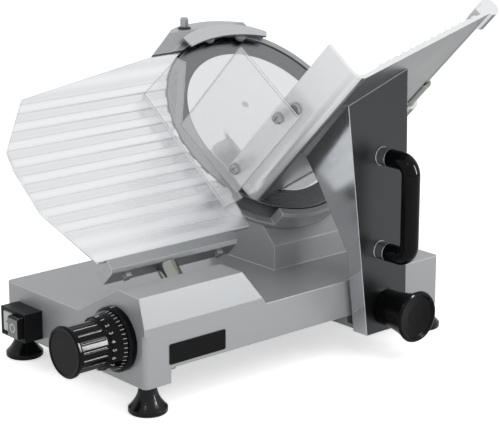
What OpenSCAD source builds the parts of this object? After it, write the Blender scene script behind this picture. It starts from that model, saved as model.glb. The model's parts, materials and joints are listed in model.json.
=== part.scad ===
// Gravity-feed food slicer with a tilted round blade, thickness gauge and sliding food tray.
// Sizes are in millimetres. The design frame has x = 0 at the right face of the base,
// y = 0 at its front face and z = 0 at the underside of its corner pads.

/* [Base casting] */
// Width of the base
base_w = 258; // [240:1:290]
// Length of the base, front to back
base_l = 447; // [430:1:500]
// Height of the flat deck above the corner pads
deck_z = 60; // [56:1:70]
// Wall thickness of the castings
wall = 5; // [4:0.5:6]
// Radius of the base's upright corners
corner_r = 6; // [3:1:12]
// Height of the cut under the right side wall
side_cut_z = 17; // [14:1:22]
// Length of each corner pad along the side
pad_l = 35; // [30:1:40]

/* [Ridge for the thickness drive] */
// Length of the ridge's flat top
ridge_l = 141.5; // [130:0.5:160]
// Length of the ridge at the deck
ridge_foot_l = 169.5; // [160:0.5:190]
// Height of the ridge's top
ridge_z = 101; // [98:0.5:110]
// Distance of the ridge's left toe from the right face
ridge_toe = 118.7; // [112:0.1:126]
// Distance of the ridge's top left edge from the right face
ridge_left = 44.4; // [42:0.1:50]
// Distance of the ridge's top right edge from the right face
ridge_right = 8.8; // [6:0.1:14]
// Height where the ridge's side bevel starts
ridge_side_z = 67; // [64:1:72]

/* [Tower] */
// Front face of the tower
tower_y = 258; // [250:1:262]
// Rear face of the tower
tower_end = 432; // [425:1:440]
// Distance of the tower's right face from the right face of the base
tower_right = 84.6; // [80:0.1:90]
// Distance of the tower's left face from the left face of the base
tower_in = 12; // [8:0.5:14]
// Height where the tower's sloped face starts
tower_shelf_z = 89; // [86:1:94]
// Length of the sloped face
tower_rise = 205; // [202:1:210]
// Height of the tower's back edge
tower_back_z = 205; // [202:1:212]

/* [Feet] */
// Height of the rubber feet
foot_h = 30; // [26:1:36]
// Radius of a foot's flared sole
foot_r = 21.5; // [18:0.5:24]
// Radius of a foot's neck
foot_neck_r = 10; // [9:0.5:12]
// Distance of a foot's axis from the base's faces
foot_inset = 13; // [12:0.5:16]
// Radius of a foot screw
foot_screw_r = 3; // [2.5:0.5:4]

/* [Blade and ring] */
// Diameter of the blade
blade_d = 250; // [240:1:252]
// Thickness of the blade
blade_t = 3; // [2:0.5:4]
// Width of the ground bevel on the blade
blade_bevel = 25; // [15:1:28]
// Diameter of the blade's cover disc
cover_d = 200; // [190:1:202]
// Height of the cover's dome
cover_h = 5; // [3:0.5:7]
// Blade axis above the horizontal, in degrees
blade_tilt = 45; // [40:1:50]
// Blade axis from the front face
blade_y = 316.6; // [312:0.1:320]
// Blade axis up the tower's sloped face
hub_up = 152.2; // [148:0.1:156]
// Blade plane above the sloped face
ring_depth = 26.5; // [25:0.5:30]
// Gap between the blade's edge and the ring
ring_gap = 2.5; // [2:0.5:4]
// Radial width of the ring's rim
ring_rim = 9.5; // [8:0.5:12]
// Thickness of the ring's web
ring_web = 5; // [4:0.5:6]
// Flat top of the ring's shoulder above the pads
shoulder_z = 316; // [312:1:320]

/* [Drive] */
// Radius of the blade shaft
shaft_r = 8.5; // [7.5:0.5:9]
// Outer radius of the shaft bearings
bearing_r = 17.5; // [16:0.5:18.5]
// Width of a shaft bearing
bearing_w = 10; // [9:0.5:10]
// Radius of the blade's pulley
blade_pulley_r = 34; // [32:1:36]
// Radius of the motor's pulley
motor_pulley_r = 14; // [12:1:16]
// Width of the pulleys
pulley_w = 13; // [11:0.5:14]
// Thickness of the drive belt
belt_t = 2; // [1.5:0.5:3]
// Motor shaft below the blade shaft, down the slope
motor_drop = 105; // [102:1:108]
// Radius of the motor's body
motor_r = 38; // [34:1:40]
// Length of the motor's body
motor_l = 80; // [60:1:84]
// Radius of the motor shaft
motor_shaft_r = 5; // [4:0.5:6]

/* [Thickness gauge] */
// Most slice thickness
gauge_travel = 12; // [10:0.5:12]
// Turn of the dial for that thickness, in degrees
dial_sweep = 320; // [300:5:320]
// Length of the gauge plate before the blade axis
gauge_reach = 355; // [340:1:365]
// Top of the gauge plate above the blade axis, up the slope
gauge_top = 113; // [108:0.5:116]
// Bottom of the gauge plate below the blade axis, down the slope
gauge_drop = 131; // [128:0.5:134]
// Right lower end of the gauge plate before the blade axis
gauge_toe = 100; // [95:1:110]
// Thickness of the gauge plate
gauge_t = 5; // [4:0.5:6]
// Height of the ribs on the gauge plate
gauge_rib_h = 1.2; // [0.8:0.1:1.6]
// Distance between the gauge plate's ribs
gauge_rib_pitch = 22; // [18:1:26]
// Number of ribs on the gauge plate
gauge_ribs = 8; // [6:1:8]
// Radius of the gauge post
post_r = 12; // [10:0.5:13]
// Gauge post from the front face
post_y = 92; // [88:1:96]
// Gauge guide rod from the front face
gauge_rod_y = 40; // [38:0.5:42]
// Radius of the gauge guide rod
gauge_rod_r = 6; // [5:0.5:7]

/* [Dial] */
// Dial axis from the right face
dial_x = 48.7; // [46:0.1:52]
// Dial axis above the pads
dial_z = 45.8; // [44:0.1:48]
// Radius of the dial's fixed bezel
bezel_r = 36; // [34:0.5:38]
// Depth of the bezel
bezel_l = 9; // [7:0.5:11]
// Radius of the graduated collar where it meets the bezel
collar_r = 33; // [31:0.5:33.5]
// Length of the graduated collar
collar_l = 17; // [14:0.5:19]
// Radius of the knob's grip
grip_r = 25.5; // [24:0.5:27]
// Length of the dial in front of the base
dial_l = 69; // [62:0.5:74]
// Number of flutes on the knob's grip
flutes = 18; // [12:1:24]
// Radius of the dial's spindle
spindle_r = 6; // [5:0.5:7]

/* [Switch] */
// Middle of the switch from the left face of the base
switch_in = 47; // [44:0.5:52]
// Middle of the switch above the pads
switch_z = 24.5; // [23:0.5:27]
// Width of the switch
switch_w = 47; // [44:1:50]
// Height of the switch
switch_h = 33; // [30:1:36]
// Depth of the switch in front of the base
switch_l = 24; // [18:1:28]
// Travel of the switch buttons
button_travel = 4; // [3:0.5:5]

/* [Carriage] */
// Travel of the carriage
carriage_travel = 250; // [230:1:252]
// Inner face of the arm from the base's right face
arm_gap = 4.4; // [3.5:0.1:7]
// Outer face of the arm from the base's right face
arm_out = 26.9; // [25:0.1:30]
// Front of the arm's foot at rest
arm_y0 = 301; // [298:1:304]
// Back of the arm's foot at rest
arm_y1 = 364; // [360:1:368]
// Lean of the arm's front face towards the front, per unit of height
arm_lean = 0.128; // [0.11:0.002:0.14]
// Wall of the arm casting
arm_wall = 6; // [5:0.5:7]
// Height where the arm starts to flare out to the left
arm_flare_z = 98; // [94:1:104]
// Radius of the carriage rod
rod_r = 7; // [6:0.5:8]
// Carriage rod from the right face
rod_x = 28; // [27:0.5:30]
// Carriage rod above the pads
rod_z = 14; // [14:0.5:15]
// Guide bar from the right face
bar_x = 100; // [98:1:103]
// Radius of the clamp knob's rim
clamp_r = 30; // [27:0.5:32]
// Height of the clamp knob's axis
clamp_z = 27; // [26:0.5:30]
// Length of the clamp knob
clamp_l = 50; // [44:1:54]

/* [Handle] */
// Radius of the handle's bar
handle_r = 10.5; // [9:0.5:11.5]
// Middle of the handle's grip from the arm's outer face
handle_out = 45; // [42:1:50]
// Handle axis from the front of the arm's foot
handle_y = 19; // [17:1:22]
// Height of the handle's lower leg
handle_z = 98; // [94:1:102]
// Distance between the handle's legs
handle_span = 110; // [104:1:114]
// Bend radius of the handle
handle_bend = 15; // [13:1:18]

/* [Food tray] */
// Length of the tray along the blade axis
tray_l = 237; // [225:1:245]
// Gap between the blade plane and the tray's lower edge
tray_gap = 8.3; // [7:0.1:10]
// Corner of the tray's profile from the front face
tray_y = 232; // [228:1:236]
// Corner of the tray's profile below the blade axis, down the slope
tray_drop = 108.6; // [107:0.1:111]
// Turn of the tray's profile about the blade axis, in degrees
tray_turn = 13; // [12:0.5:14]
// Width of the tray's floor up to its far edge
floor_w = 248; // [246:1:249]
// Height of the tray's front wall
fence_h = 52; // [48:1:58]
// Thickness of the tray
tray_t = 4.5; // [4:0.5:5]
// Radius of the tray's outside corner
tray_fillet = 14; // [10:1:18]
// Number of ribs on the tray's floor
floor_ribs = 14; // [10:1:16]
// Distance between the ribs on the tray's floor
floor_rib_pitch = 14; // [13:0.5:14.5]
// Height of the ribs on the tray's floor
floor_rib_h = 2.6; // [2:0.2:3.4]

/* [Hand guard] */
// Thickness of the clear guard
guard_t = 4; // [3:0.5:5]
// Gap between the tray's wall and the guard
guard_gap = 12; // [10:1:14]
// Lower edge of the guard above the tray's corner
guard_low = 20; // [18:1:24]
// Upper edge of the guard above the tray's corner
guard_high = 124; // [116:1:130]
// Length of the guard along the tray
guard_l = 151; // [140:1:160]
// Width of the guard's bent lip
guard_lip = 30; // [24:1:34]
// Height of the guard's bent lip
guard_lip_h = 177; // [165:1:182]

/* [Food pusher] */
// Radius of the pusher's rod
pusher_rod_r = 6; // [5:0.5:7]
// Pusher rod from the tray's corner, across the floor
pusher_rod_out = 266; // [265:0.5:268]
// Pusher rod above the tray's underside
pusher_rod_up = 7.5; // [7:0.5:9]
// Outer radius of the pusher's sleeve
sleeve_r = 11; // [10:0.5:12]
// Length of the pusher's sleeve
sleeve_l = 73; // [66:1:76]
// Width of the pusher's plate
pusher_w = 165; // [150:1:175]
// Height of the pusher's plate
pusher_h = 80; // [70:1:84]

/* [Clearances] */
// Radial clearance of running fits
run_fit = 0.05; // [0.03:0.01:0.08]
// Clearance between sliding flat faces
slide_fit = 0.3; // [0.25:0.05:0.4]
// Clearance of fixed pieces in their holes
fix_fit = 0.02; // [0.01:0.01:0.05]
// Smallest face count of round features
$fn = 48; // [32:8:96]

/* [Hidden] */

// A small overlap that keeps cuts clean
eps = 1;
sin_t = sin(blade_tilt);
cos_t = cos(blade_tilt);

// The blade's centre: up the slope from the tower's shelf, then out along the blade axis
blade_x = -tower_right - hub_up * sin_t + ring_depth * cos_t;
blade_z = tower_shelf_z + hub_up * cos_t + ring_depth * sin_t;
blade_m = blade_z * cos_t - blade_x * sin_t;
blade_n = blade_x * cos_t + blade_z * sin_t;
blade_r = blade_d / 2;
tower_foot = base_w - tower_in;
switch_x = base_w - switch_in;
ring_in = blade_r + ring_gap;
ring_out = ring_in + ring_rim;

// The tray's lower end along the blade axis and the end of its rod's lug
tray_n = blade_n + tray_gap;
lug_r = 12;
lug_l = 28;
low_lug_l = 16;
pusher_hub_r = sleeve_r + 4.5;
shoulder_depth = ring_depth - 1;

// Reference point: below the middle of the part's outline, on the ground
handle_x = arm_out + handle_out;
x_high = handle_x + handle_r;
x_low = (blade_n - shoulder_depth - shoulder_z * sin_t) / cos_t;
y_low = -dial_l;
y_high = tray_y + pusher_rod_out * cos(tray_turn) - pusher_rod_up * sin(tray_turn) + pusher_hub_r;
ref = [-(x_high + x_low) / 2, -(y_high + y_low) / 2, foot_h];

module place() { translate(ref) children(); }

// x runs to the back, y up the slope, z along the blade axis
module slope_frame() { rotate([0, 90 - blade_tilt, 0]) rotate([0, 0, 90]) children(); }

module blade_frame() {
  translate([blade_x, blade_y, blade_z]) slope_frame() children();
}

// x runs across the tray's floor, y up its wall, z along its ribs
module tray_frame() {
  slope_frame() translate([tray_y, blade_m - tray_drop, 0]) rotate([0, 0, tray_turn]) children();
}

// Extrusions of an outline in x and z along y, and of one in y and z along x
module xz_prism(y0, y1) {
  translate([0, y1, 0]) rotate([90, 0, 0]) linear_extrude(y1 - y0) children();
}

module yz_prism(x0, x1) {
  translate([x0, 0, 0]) rotate([90, 0, 90]) linear_extrude(x1 - x0) children();
}

module rod_along_y(r, y0, y1) {
  translate([0, y1, 0]) rotate([90, 0, 0]) cylinder(r = r, h = y1 - y0);
}

module rod_along_x(r, x0, x1) {
  translate([x0, 0, 0]) rotate([0, 90, 0]) cylinder(r = r, h = x1 - x0);
}

module tube(r_out, r_in, h) {
  difference() {
    cylinder(r = r_out, h = h);
    translate([0, 0, -eps]) cylinder(r = r_in, h = h + 2 * eps);
  }
}

// A rectangle with round corners, its low corner at the origin
module round_rect(w, l, r) {
  translate([r, 0]) square([w - 2 * r, l]);
  translate([0, r]) square([w, l - 2 * r]);
  for (x = [r, w - r], y = [r, l - r]) translate([x, y]) circle(r);
}

// Places of the feet and of the bottom cover's posts
foot_spots = [for (x = [-foot_inset, foot_inset - base_w], y = [foot_inset, base_l - foot_inset]) [x, y]];
cover_x0 = -base_w + wall + 1;
cover_x1 = -bar_x - 20;
cover_z = 2.5;
cover_t = 1.5;
cover_inset = 14;
cover_post_r = 7;
post_in = 34;
// The rear right post stands behind the open tower, against the back wall
post_spots = [
  [cover_x0 + cover_inset, wall + post_in], [cover_x1 - cover_inset, wall + post_in],
  [cover_x0 + cover_inset, base_l - wall - post_in],
  [cover_x1 - cover_inset, base_l - wall - cover_post_r + 1]];
cover_screw_r = 2;

// Ridge outline in x and z, drawn in by the wall for its hollow
module ridge_outline(in) {
  toe_in = in / sin(atan2(ridge_z - deck_z, ridge_toe - ridge_left));
  polygon([
    [-ridge_toe + toe_in - in, deck_z - in - eps], [-ridge_toe + toe_in, deck_z - in],
    [-ridge_left + in * 0.2, ridge_z - in], [-ridge_right - in * 0.6, ridge_z - in - 1.5],
    [-in, ridge_side_z], [-in, deck_z - in - eps]]);
}

module ridge_solid(in) {
  intersection() {
    xz_prism(in, ridge_foot_l + eps) ridge_outline(in);
    yz_prism(-base_w, eps) polygon([
      [in, 0], [in, ridge_z + eps], [ridge_l - in, ridge_z + eps], [ridge_l - in, ridge_z - in],
      [ridge_foot_l - in, deck_z - in], [ridge_foot_l - in, 0]]);
  }
}

// Tower outline in x and z, with its sloped face square to the blade axis
crown_w = 10;
crown_drop = 7;
tower_chamfer = 25;

module tower_outline(in) {
  top_x = -tower_right - tower_rise * sin_t;
  top_z = tower_shelf_z + tower_rise * cos_t;
  polygon([
    [-tower_right - in, deck_z - in - eps], [-tower_right - in, tower_shelf_z - in * tan(blade_tilt / 2)],
    [top_x + in * 0.2, top_z - in * 1.4], [top_x - crown_w + in, top_z - crown_drop - in],
    [-tower_left + in, tower_back_z - in * 0.4], [-tower_foot + in, deck_z - in - eps]]);
}

// The tower's front left corner is cut back behind the gauge plate
nose_w = 44;
nose_l = 42;

module tower_solid(in) {
  intersection() {
    xz_prism(tower_y + in, tower_end - in) tower_outline(in);
    translate([0, 0, deck_z - in - eps]) linear_extrude(shoulder_z) polygon([
      [-tower_right - in, tower_y + in], [nose_w - tower_left + in * 0.4, tower_y + in],
      [-tower_left + in, tower_y + nose_l + in * 0.4], [-tower_left + in, tower_end - in - tower_chamfer],
      [-tower_left + tower_chamfer + in, tower_end - in],
      [-tower_right - tower_chamfer - in, tower_end - in],
      [-tower_right - in, tower_end - in - tower_chamfer]]);
  }
}

hub_hole_r = 56;
rod_boss_r = 11;
boss_l = 12;
bar_t = 6;
bar_h = 14;
bar_z = 7;
spindle_y0 = -bezel_l - collar_l;
cam_y = wall + 5;
cam_t = 6;
cam_r0 = 10;
pin_r = 4;

// Dial axis and gauge guide in slope coordinates: m runs up the slope, n along the blade axis
dial_m = dial_z * cos_t + dial_x * sin_t;
dial_n = dial_z * sin_t - dial_x * cos_t;
gauge_rod_m = dial_m + 11;
lug_low_n = dial_n - 46;
lug_high_n = dial_n + 38;
lug_t = 8;
lug_half = 10;
post_n = dial_n + 18;
follower_n = dial_n - cam_r0 - pin_r - slide_fit;

// A cast lug on the front wall that carries one end of the gauge guide rod
module gauge_lug(n) {
  slope_frame() translate([wall - eps, gauge_rod_m - lug_half, n])
    cube([gauge_rod_y + gauge_rod_r + 5 - wall + eps, 2 * lug_half, lug_t]);
}

// The way that a post of radius r needs when the gauge opens by its travel
module post_way(r, m0, m1) {
  slope_frame() for (n = [post_n, post_n - gauge_travel])
    translate([post_y, m1, n]) rotate([90, 0, 0]) cylinder(r = r, h = m1 - m0);
  slope_frame() translate([post_y - r, m0, post_n - gauge_travel]) cube([2 * r, m1 - m0, gauge_travel]);
}

module base_casting() color("#a4a6a8") place() difference() {
  union() {
    difference() {
      union() {
        translate([-base_w, 0, 0]) linear_extrude(deck_z) round_rect(base_w, base_l, corner_r);
        ridge_solid(0);
        tower_solid(0);
      }
      translate([wall - base_w, wall, -eps])
        linear_extrude(deck_z - wall + eps) round_rect(base_w - 2 * wall, base_l - 2 * wall, corner_r);
      ridge_solid(wall);
      tower_solid(wall);
      translate([-wall - eps, pad_l, -eps]) cube([wall + 2 * eps, base_l - 2 * pad_l, side_cut_z + eps]);
    }
    for (s = foot_spots) translate([s[0], s[1], 0]) cylinder(r = foot_neck_r + 1, h = deck_z - wall + eps);
    for (s = post_spots) translate([s[0], s[1], cover_z + cover_t])
      cylinder(r = cover_post_r, h = deck_z - wall - cover_z - cover_t + eps);
    for (y = [wall - eps, base_l - wall - boss_l]) {
      translate([-rod_x, 0, rod_z]) rod_along_y(rod_boss_r, y, y + boss_l + eps);
      translate([-bar_x - bar_t - 4, y, bar_z - 4]) cube([bar_t * 2 + 8, boss_l + eps, bar_h + 8]);
    }
    gauge_lug(lug_low_n);
    gauge_lug(lug_high_n);
    translate([-dial_x, 0, dial_z]) rod_along_y(2 * spindle_r, wall - eps, cam_y - slide_fit);
  }
  blade_frame() translate([0, 0, -ring_depth - wall - 2 * eps])
    cylinder(r = hub_hole_r, h = wall + 3 * eps);
  blade_frame() at_ring_bolts() translate([0, 0, -ring_depth - wall - eps])
    cylinder(r = ring_bolt_r + fix_fit, h = wall + 2 * eps);
  for (s = foot_spots) translate([s[0], s[1], -eps])
    cylinder(r = foot_screw_r + fix_fit, h = foot_screw_l + eps);
  for (s = post_spots) translate([s[0], s[1], 0]) cylinder(r = cover_screw_r + fix_fit, h = 16);
  translate([-rod_x, 0, rod_z]) rod_along_y(rod_r + fix_fit, wall, base_l - wall);
  translate([-bar_x - bar_t / 2 - fix_fit, wall, bar_z - fix_fit])
    cube([bar_t + 2 * fix_fit, base_l - 2 * wall, bar_h + 2 * fix_fit]);
  slope_frame() translate([gauge_rod_y, gauge_rod_m, lug_low_n - eps])
    cylinder(r = gauge_rod_r + fix_fit, h = lug_high_n - lug_low_n + lug_t + 2 * eps);
  translate([-dial_x, 0, dial_z]) rod_along_y(spindle_r + run_fit, -eps, cam_y + eps);
  translate([-switch_x - switch_body_w / 2 - fix_fit, -eps, switch_z - switch_body_h / 2 - fix_fit])
    cube([switch_body_w + 2 * fix_fit, wall + 2 * eps, switch_body_h + 2 * fix_fit]);
  post_way(post_r + 1, gauge_rod_m + 16, blade_m - gauge_drop);
  translate([-gland_x, 0, gland_z]) rod_along_y(gland_r + fix_fit, base_l - wall - eps, base_l + eps);
}

vents = 8;
vent_l = 60;
vent_w = 4;
vent_pitch = 12;

module bottom_cover() color("#5c5e60") place() difference() {
  translate([cover_x0, wall + 1, cover_z]) cube([cover_x1 - cover_x0, base_l - 2 * wall - 2, cover_t]);
  for (s = post_spots) translate([s[0], s[1], 0]) cylinder(r = cover_screw_r + 0.2, h = 10);
  for (s = foot_spots) translate([s[0], s[1], 0]) cylinder(r = foot_neck_r + 2, h = 10);
  for (i = [0:vents - 1]) translate([(cover_x0 + cover_x1 - vent_l) / 2, base_l / 2 + vent_pitch * i, 0])
    cube([vent_l, vent_w, 10]);
}

module cover_screws() color("#8f9193") place() for (s = post_spots) {
  translate([s[0], s[1], cover_z - 2]) cylinder(r1 = 3, r2 = 4, h = 2);
  translate([s[0], s[1], cover_z - eps]) cylinder(r = cover_screw_r, h = 13);
}

// Rubber feet: a flared sole, a waisted neck and a recess for the screw's head
foot_screw_l = 18;
foot_head_r = 5.5;
foot_head_z = 4;
foot_seat_z = 8;

module feet() color("#151617") place() for (s = foot_spots) translate([s[0], s[1], -foot_h]) difference() {
  rotate_extrude() polygon(concat(
    [[0, 0], [foot_r - 1.5, 0], [foot_r, 1.5], [foot_r, 6]],
    [for (i = [1:8]) let (a = i / 8) [
      foot_neck_r + (foot_r - foot_neck_r) * pow(1 - a, 2.2), 6 + (foot_h - 6) * a]],
    [[0, foot_h]]));
  translate([0, 0, -eps]) cylinder(r = foot_screw_r + 0.2, h = foot_h + 2 * eps);
  translate([0, 0, -eps]) cylinder(r = foot_head_r + 0.5, h = foot_seat_z + eps);
}

module foot_screws() color("#9a9c9e") place() for (s = foot_spots)
  translate([s[0], s[1], foot_head_z - foot_h]) difference() {
    union() {
      cylinder(r = foot_head_r, h = foot_seat_z - foot_head_z);
      cylinder(r = foot_screw_r, h = foot_h - foot_head_z + foot_screw_l - eps);
    }
    translate([0, 0, -eps]) cylinder(r = 2.5, h = 2 + eps, $fn = 6);
  }

// Ring: a dish with a hub for the bearings, a rim round the blade and a shoulder for the sharpener
hub_r = bearing_r + 8;
hub_back = -ring_depth - 9.5;
hub_front = -9;
gauge_room = gauge_travel + gauge_t + gauge_rib_h + 1;
ring_bolt_out = 70;
ring_bolt_r = 2.5;

module at_ring_bolts() {
  for (a = [0, -45, -90, -135]) rotate([0, 0, a]) translate([ring_bolt_out, 0, 0]) children();
}

// The shoulder stands on the ring's upper left: a rounded crest that falls to the gauge plate's corner
shoulder_left = 105;
crest_u = 18;
crest_v = blade_r - 7;
crest_h = 50;
crest_left = 90;
crest_right = 45;
gauge_cut = 48;
rim_h = 1.5;

module shoulder_outline() {
  polygon(concat(
    [for (a = [0:15:75]) [crest_u + crest_right * cos(a), crest_v + crest_h * sin(a)]],
    [for (a = [90:15:150]) [crest_u + crest_left * cos(a), crest_v + crest_h * sin(a)]],
    [[-shoulder_left, gauge_top], [-shoulder_left, gauge_top - 18], [-40, crest_v]]));
}

module blade_ring() color("#b9bbbd") place() difference() {
  blade_frame() difference() {
    union() {
      rotate_extrude($fn = 128) polygon([
        [hub_r - 3, -ring_depth], [ring_out - 2, -ring_depth], [ring_out, 2 - ring_depth], [ring_out, -1],
        [ring_out - 2.5, rim_h], [ring_in, rim_h], [ring_in, 6 - ring_depth],
        [ring_in - 6, ring_web - ring_depth], [hub_r - 3, ring_web - ring_depth]]);
      translate([0, 0, hub_back]) cylinder(r = hub_r, h = hub_front - hub_back);
      difference() {
        translate([0, 0, -shoulder_depth]) linear_extrude(shoulder_depth) shoulder_outline();
        translate([0, 0, -ring_depth]) cylinder(r = ring_in + 1, h = ring_depth + 2 * eps, $fn = 128);
      }
    }
    translate([0, 0, hub_back - eps]) cylinder(r = bearing_r + fix_fit, h = hub_front - hub_back + 2 * eps);
    translate([-ring_out - 20, -gauge_drop - 15, -gauge_room])
      cube([ring_out + 20 - gauge_cut, gauge_drop + gauge_top + 17, ring_depth]);
    at_ring_bolts() translate([0, 0, -ring_depth - eps])
      cylinder(r = ring_bolt_r + fix_fit, h = ring_web + 2 * eps);
  }
  translate([blade_x - 2 * ring_out, 0, shoulder_z]) cube([3 * ring_out, base_l, ring_out]);
  translate([pin_x, pin_y, shoulder_z - pin_hole_l])
    cylinder(r = sharp_pin_r + run_fit, h = pin_hole_l + eps);
}

module ring_bolts() color("#8f9193") place() blade_frame() at_ring_bolts() {
  translate([0, 0, ring_web - ring_depth]) cylinder(r = 4.5, h = 4);
  translate([0, 0, -ring_depth - wall]) cylinder(r = ring_bolt_r, h = wall + ring_web + eps);
}

// Blade, cover and shaft, all on the blade axis
blade_back = -1 - blade_t;
flange_r = 38;
flange_t = 4;
nose_r = 9;
pulley_front = hub_back - 2;
shaft_back = pulley_front - pulley_w - 4;
disc_screw_out = 28;
disc_screw_r = 2.5;
disc_head_r = 4.5;
disc_head_t = 2;

function dome(r) = -1 + cover_h * (1 - pow(2 * r / cover_d, 2)) * 0.8 + 0.2 * cover_h;

module at_disc_screws() {
  for (a = [0:120:240]) rotate([0, 0, a]) translate([disc_screw_out, 0, 0]) children();
}

module shaft_bearings() color("#c9cbcd") place() blade_frame()
  for (w = [hub_back, hub_front - 1 - bearing_w]) translate([0, 0, w]) difference() {
    tube(bearing_r, shaft_r + run_fit, bearing_w);
    for (s = [-1, bearing_w - 1]) translate([0, 0, s]) tube(bearing_r - 3, shaft_r + 3, 2);
  }

module blade_shaft() color("#b4b6b8") place() blade_frame() difference() {
  union() {
    translate([0, 0, shaft_back]) cylinder(r = shaft_r, h = blade_back - shaft_back);
    translate([0, 0, blade_back - flange_t]) cylinder(r = flange_r, h = flange_t);
    translate([0, 0, blade_back - eps]) cylinder(r = nose_r - fix_fit, h = blade_t + eps);
  }
  at_disc_screws() translate([0, 0, blade_back - flange_t - eps])
    cylinder(r = disc_screw_r, h = 2 * flange_t);
}

module blade() color("#cfd1d3") place() blade_frame() difference() {
  rotate_extrude($fn = 128) polygon([
    [nose_r, blade_back], [blade_r - 8, blade_back], [blade_r, -0.3], [blade_r, 0], [blade_r - 1, 0],
    [blade_r - blade_bevel, -1], [nose_r, -1]]);
  at_disc_screws() translate([0, 0, blade_back - eps])
    cylinder(r = disc_screw_r + fix_fit, h = blade_t + 2 * eps);
}

module blade_cover() color("#dcdee0") place() blade_frame() difference() {
  rotate_extrude($fn = 128) polygon(concat(
    [[0, -1]], [[cover_d / 2, -1]],
    [for (i = [10:-1:0]) let (r = cover_d / 2 * i / 10) [r, dome(r)]]));
  at_disc_screws() translate([0, 0, -2]) cylinder(r = disc_screw_r + fix_fit, h = 2 * cover_h);
  at_disc_screws() translate([0, 0, dome(disc_screw_out) - disc_head_t])
    cylinder(r = disc_head_r, h = cover_h);
}

module cover_disc_screws() color("#b4b6b8") place() blade_frame() at_disc_screws() difference() {
  head_w = dome(disc_screw_out) - disc_head_t;
  union() {
    translate([0, 0, head_w]) cylinder(r = disc_head_r - fix_fit, h = disc_head_t);
    translate([0, 0, blade_back - flange_t])
      cylinder(r = disc_screw_r - fix_fit, h = head_w - blade_back + flange_t + disc_head_t / 2);
  }
  translate([-0.6, -disc_head_r, head_w + disc_head_t / 2]) cube([1.2, 2 * disc_head_r, disc_head_t]);
}

// Ribbed pulley faces as a zigzag along the axis
function rib_face(r, w) = [for (i = [0:10]) [r - (i % 2) * 1.2, w * i / 10]];

module ribbed_pulley(r, bore) {
  rotate_extrude() polygon(concat([[bore, 0]], rib_face(r, pulley_w), [[bore, pulley_w]]));
}

pulley_hole_r = 6;

module blade_pulley() color("#a8aaac") place() blade_frame()
  translate([0, 0, pulley_front - pulley_w]) difference() {
    ribbed_pulley(blade_pulley_r, shaft_r + fix_fit);
    for (a = [0:60:300]) rotate([0, 0, a]) translate([(blade_pulley_r + shaft_r) / 2, 0, -eps])
      cylinder(r = pulley_hole_r, h = pulley_w + 2 * eps);
  }

belt_clear = 0.3;

// The tower's left wall clears the belt on the blade's pulley and starts inside the base's left face
belt_room = 1.5;
belt_left = (blade_pulley_r + belt_t + belt_clear) * sin_t - (pulley_front - pulley_w) * cos_t - blade_x;
tower_left = max(tower_foot, belt_left + belt_room + wall);

module belt_outline(grow) {
  hull() {
    circle(blade_pulley_r + grow, $fn = 64);
    translate([0, -motor_drop]) circle(motor_pulley_r + grow, $fn = 32);
  }
}

module drive_belt() color("#1b1b1c") place() blade_frame()
  translate([0, 0, pulley_front - pulley_w + 1]) linear_extrude(pulley_w - 2) difference() {
    belt_outline(belt_t + belt_clear);
    belt_outline(belt_clear);
  }

module motor_frame() { blade_frame() translate([0, -motor_drop, 0]) children(); }

bracket_front = pulley_front - pulley_w - 3;
bracket_t = 4;
bracket_half = 42;
pillar_out = 34;
pillar_r = 5;
motor_front = bracket_front - bracket_t;

module motor_pulley() color("#a8aaac") place() motor_frame()
  translate([0, 0, pulley_front - pulley_w]) ribbed_pulley(motor_pulley_r, motor_shaft_r + fix_fit);

module motor_shaft() color("#b4b6b8") place() motor_frame()
  translate([0, 0, motor_front - shaft_in])
    cylinder(r = motor_shaft_r, h = pulley_front - motor_front + shaft_in);

// Motor: end bells at both ends of a finned stator, bored for its shaft
bell_l = 14;
bell_in = 4;
fin_t = 2;
shaft_in = 20;

module motor() color("#3c4046") place() motor_frame() difference() {
  translate([0, 0, motor_front - motor_l]) union() {
    cylinder(r1 = motor_r - 2 * bell_in, r2 = motor_r - bell_in, h = bell_l);
    translate([0, 0, bell_l]) cylinder(r = motor_r - bell_in, h = motor_l - bell_l);
    for (a = [0:20:340]) rotate([0, 0, a]) translate([motor_r - 2 * bell_in, -fin_t / 2, bell_l + fin_t])
      cube([2 * bell_in, fin_t, motor_l - 2 * bell_l - fin_t]);
  }
  translate([0, 0, motor_front - shaft_in - eps])
    cylinder(r = motor_shaft_r + run_fit, h = shaft_in + 2 * eps);
}

module motor_bracket() color("#8a8c8e") place() motor_frame() difference() {
  union() {
    translate([-bracket_half, -bracket_half, motor_front])
      cube([2 * bracket_half, 2 * bracket_half, bracket_t]);
    for (x = [-pillar_out, pillar_out], y = [-pillar_out, pillar_out]) translate([x, y, motor_front])
      cylinder(r = pillar_r, h = -ring_depth - wall - motor_front);
  }
  translate([0, 0, motor_front - eps]) cylinder(r = motor_shaft_r + 3, h = bracket_t + 2 * eps);
}

// Run capacitor, lying on the bottom cover by the left wall, with two terminals
cap_r = 17;
cap_l = 62;
cap_y = 150;
terminal_r = 2;
terminal_l = 6;

module capacitor() color("#d8d8d4") place()
  translate([cover_x0 + cap_r + 2, cap_y, cover_z + cover_t + cap_r]) {
    rod_along_y(cap_r, 0, cap_l);
    for (s = [-5, 5]) translate([s, 0, 0]) rod_along_y(terminal_r, -terminal_l, eps);
  }

// Switch: a box with two wells, a button in each
switch_body_w = 30;
switch_body_h = 27;
well_d = 16;
button_w = 19;
button_h = 26;
button_gap = 2;
on_x = -switch_x - button_w / 2 - button_gap / 2;
off_x = -switch_x + button_w / 2 + button_gap / 2;

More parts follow.
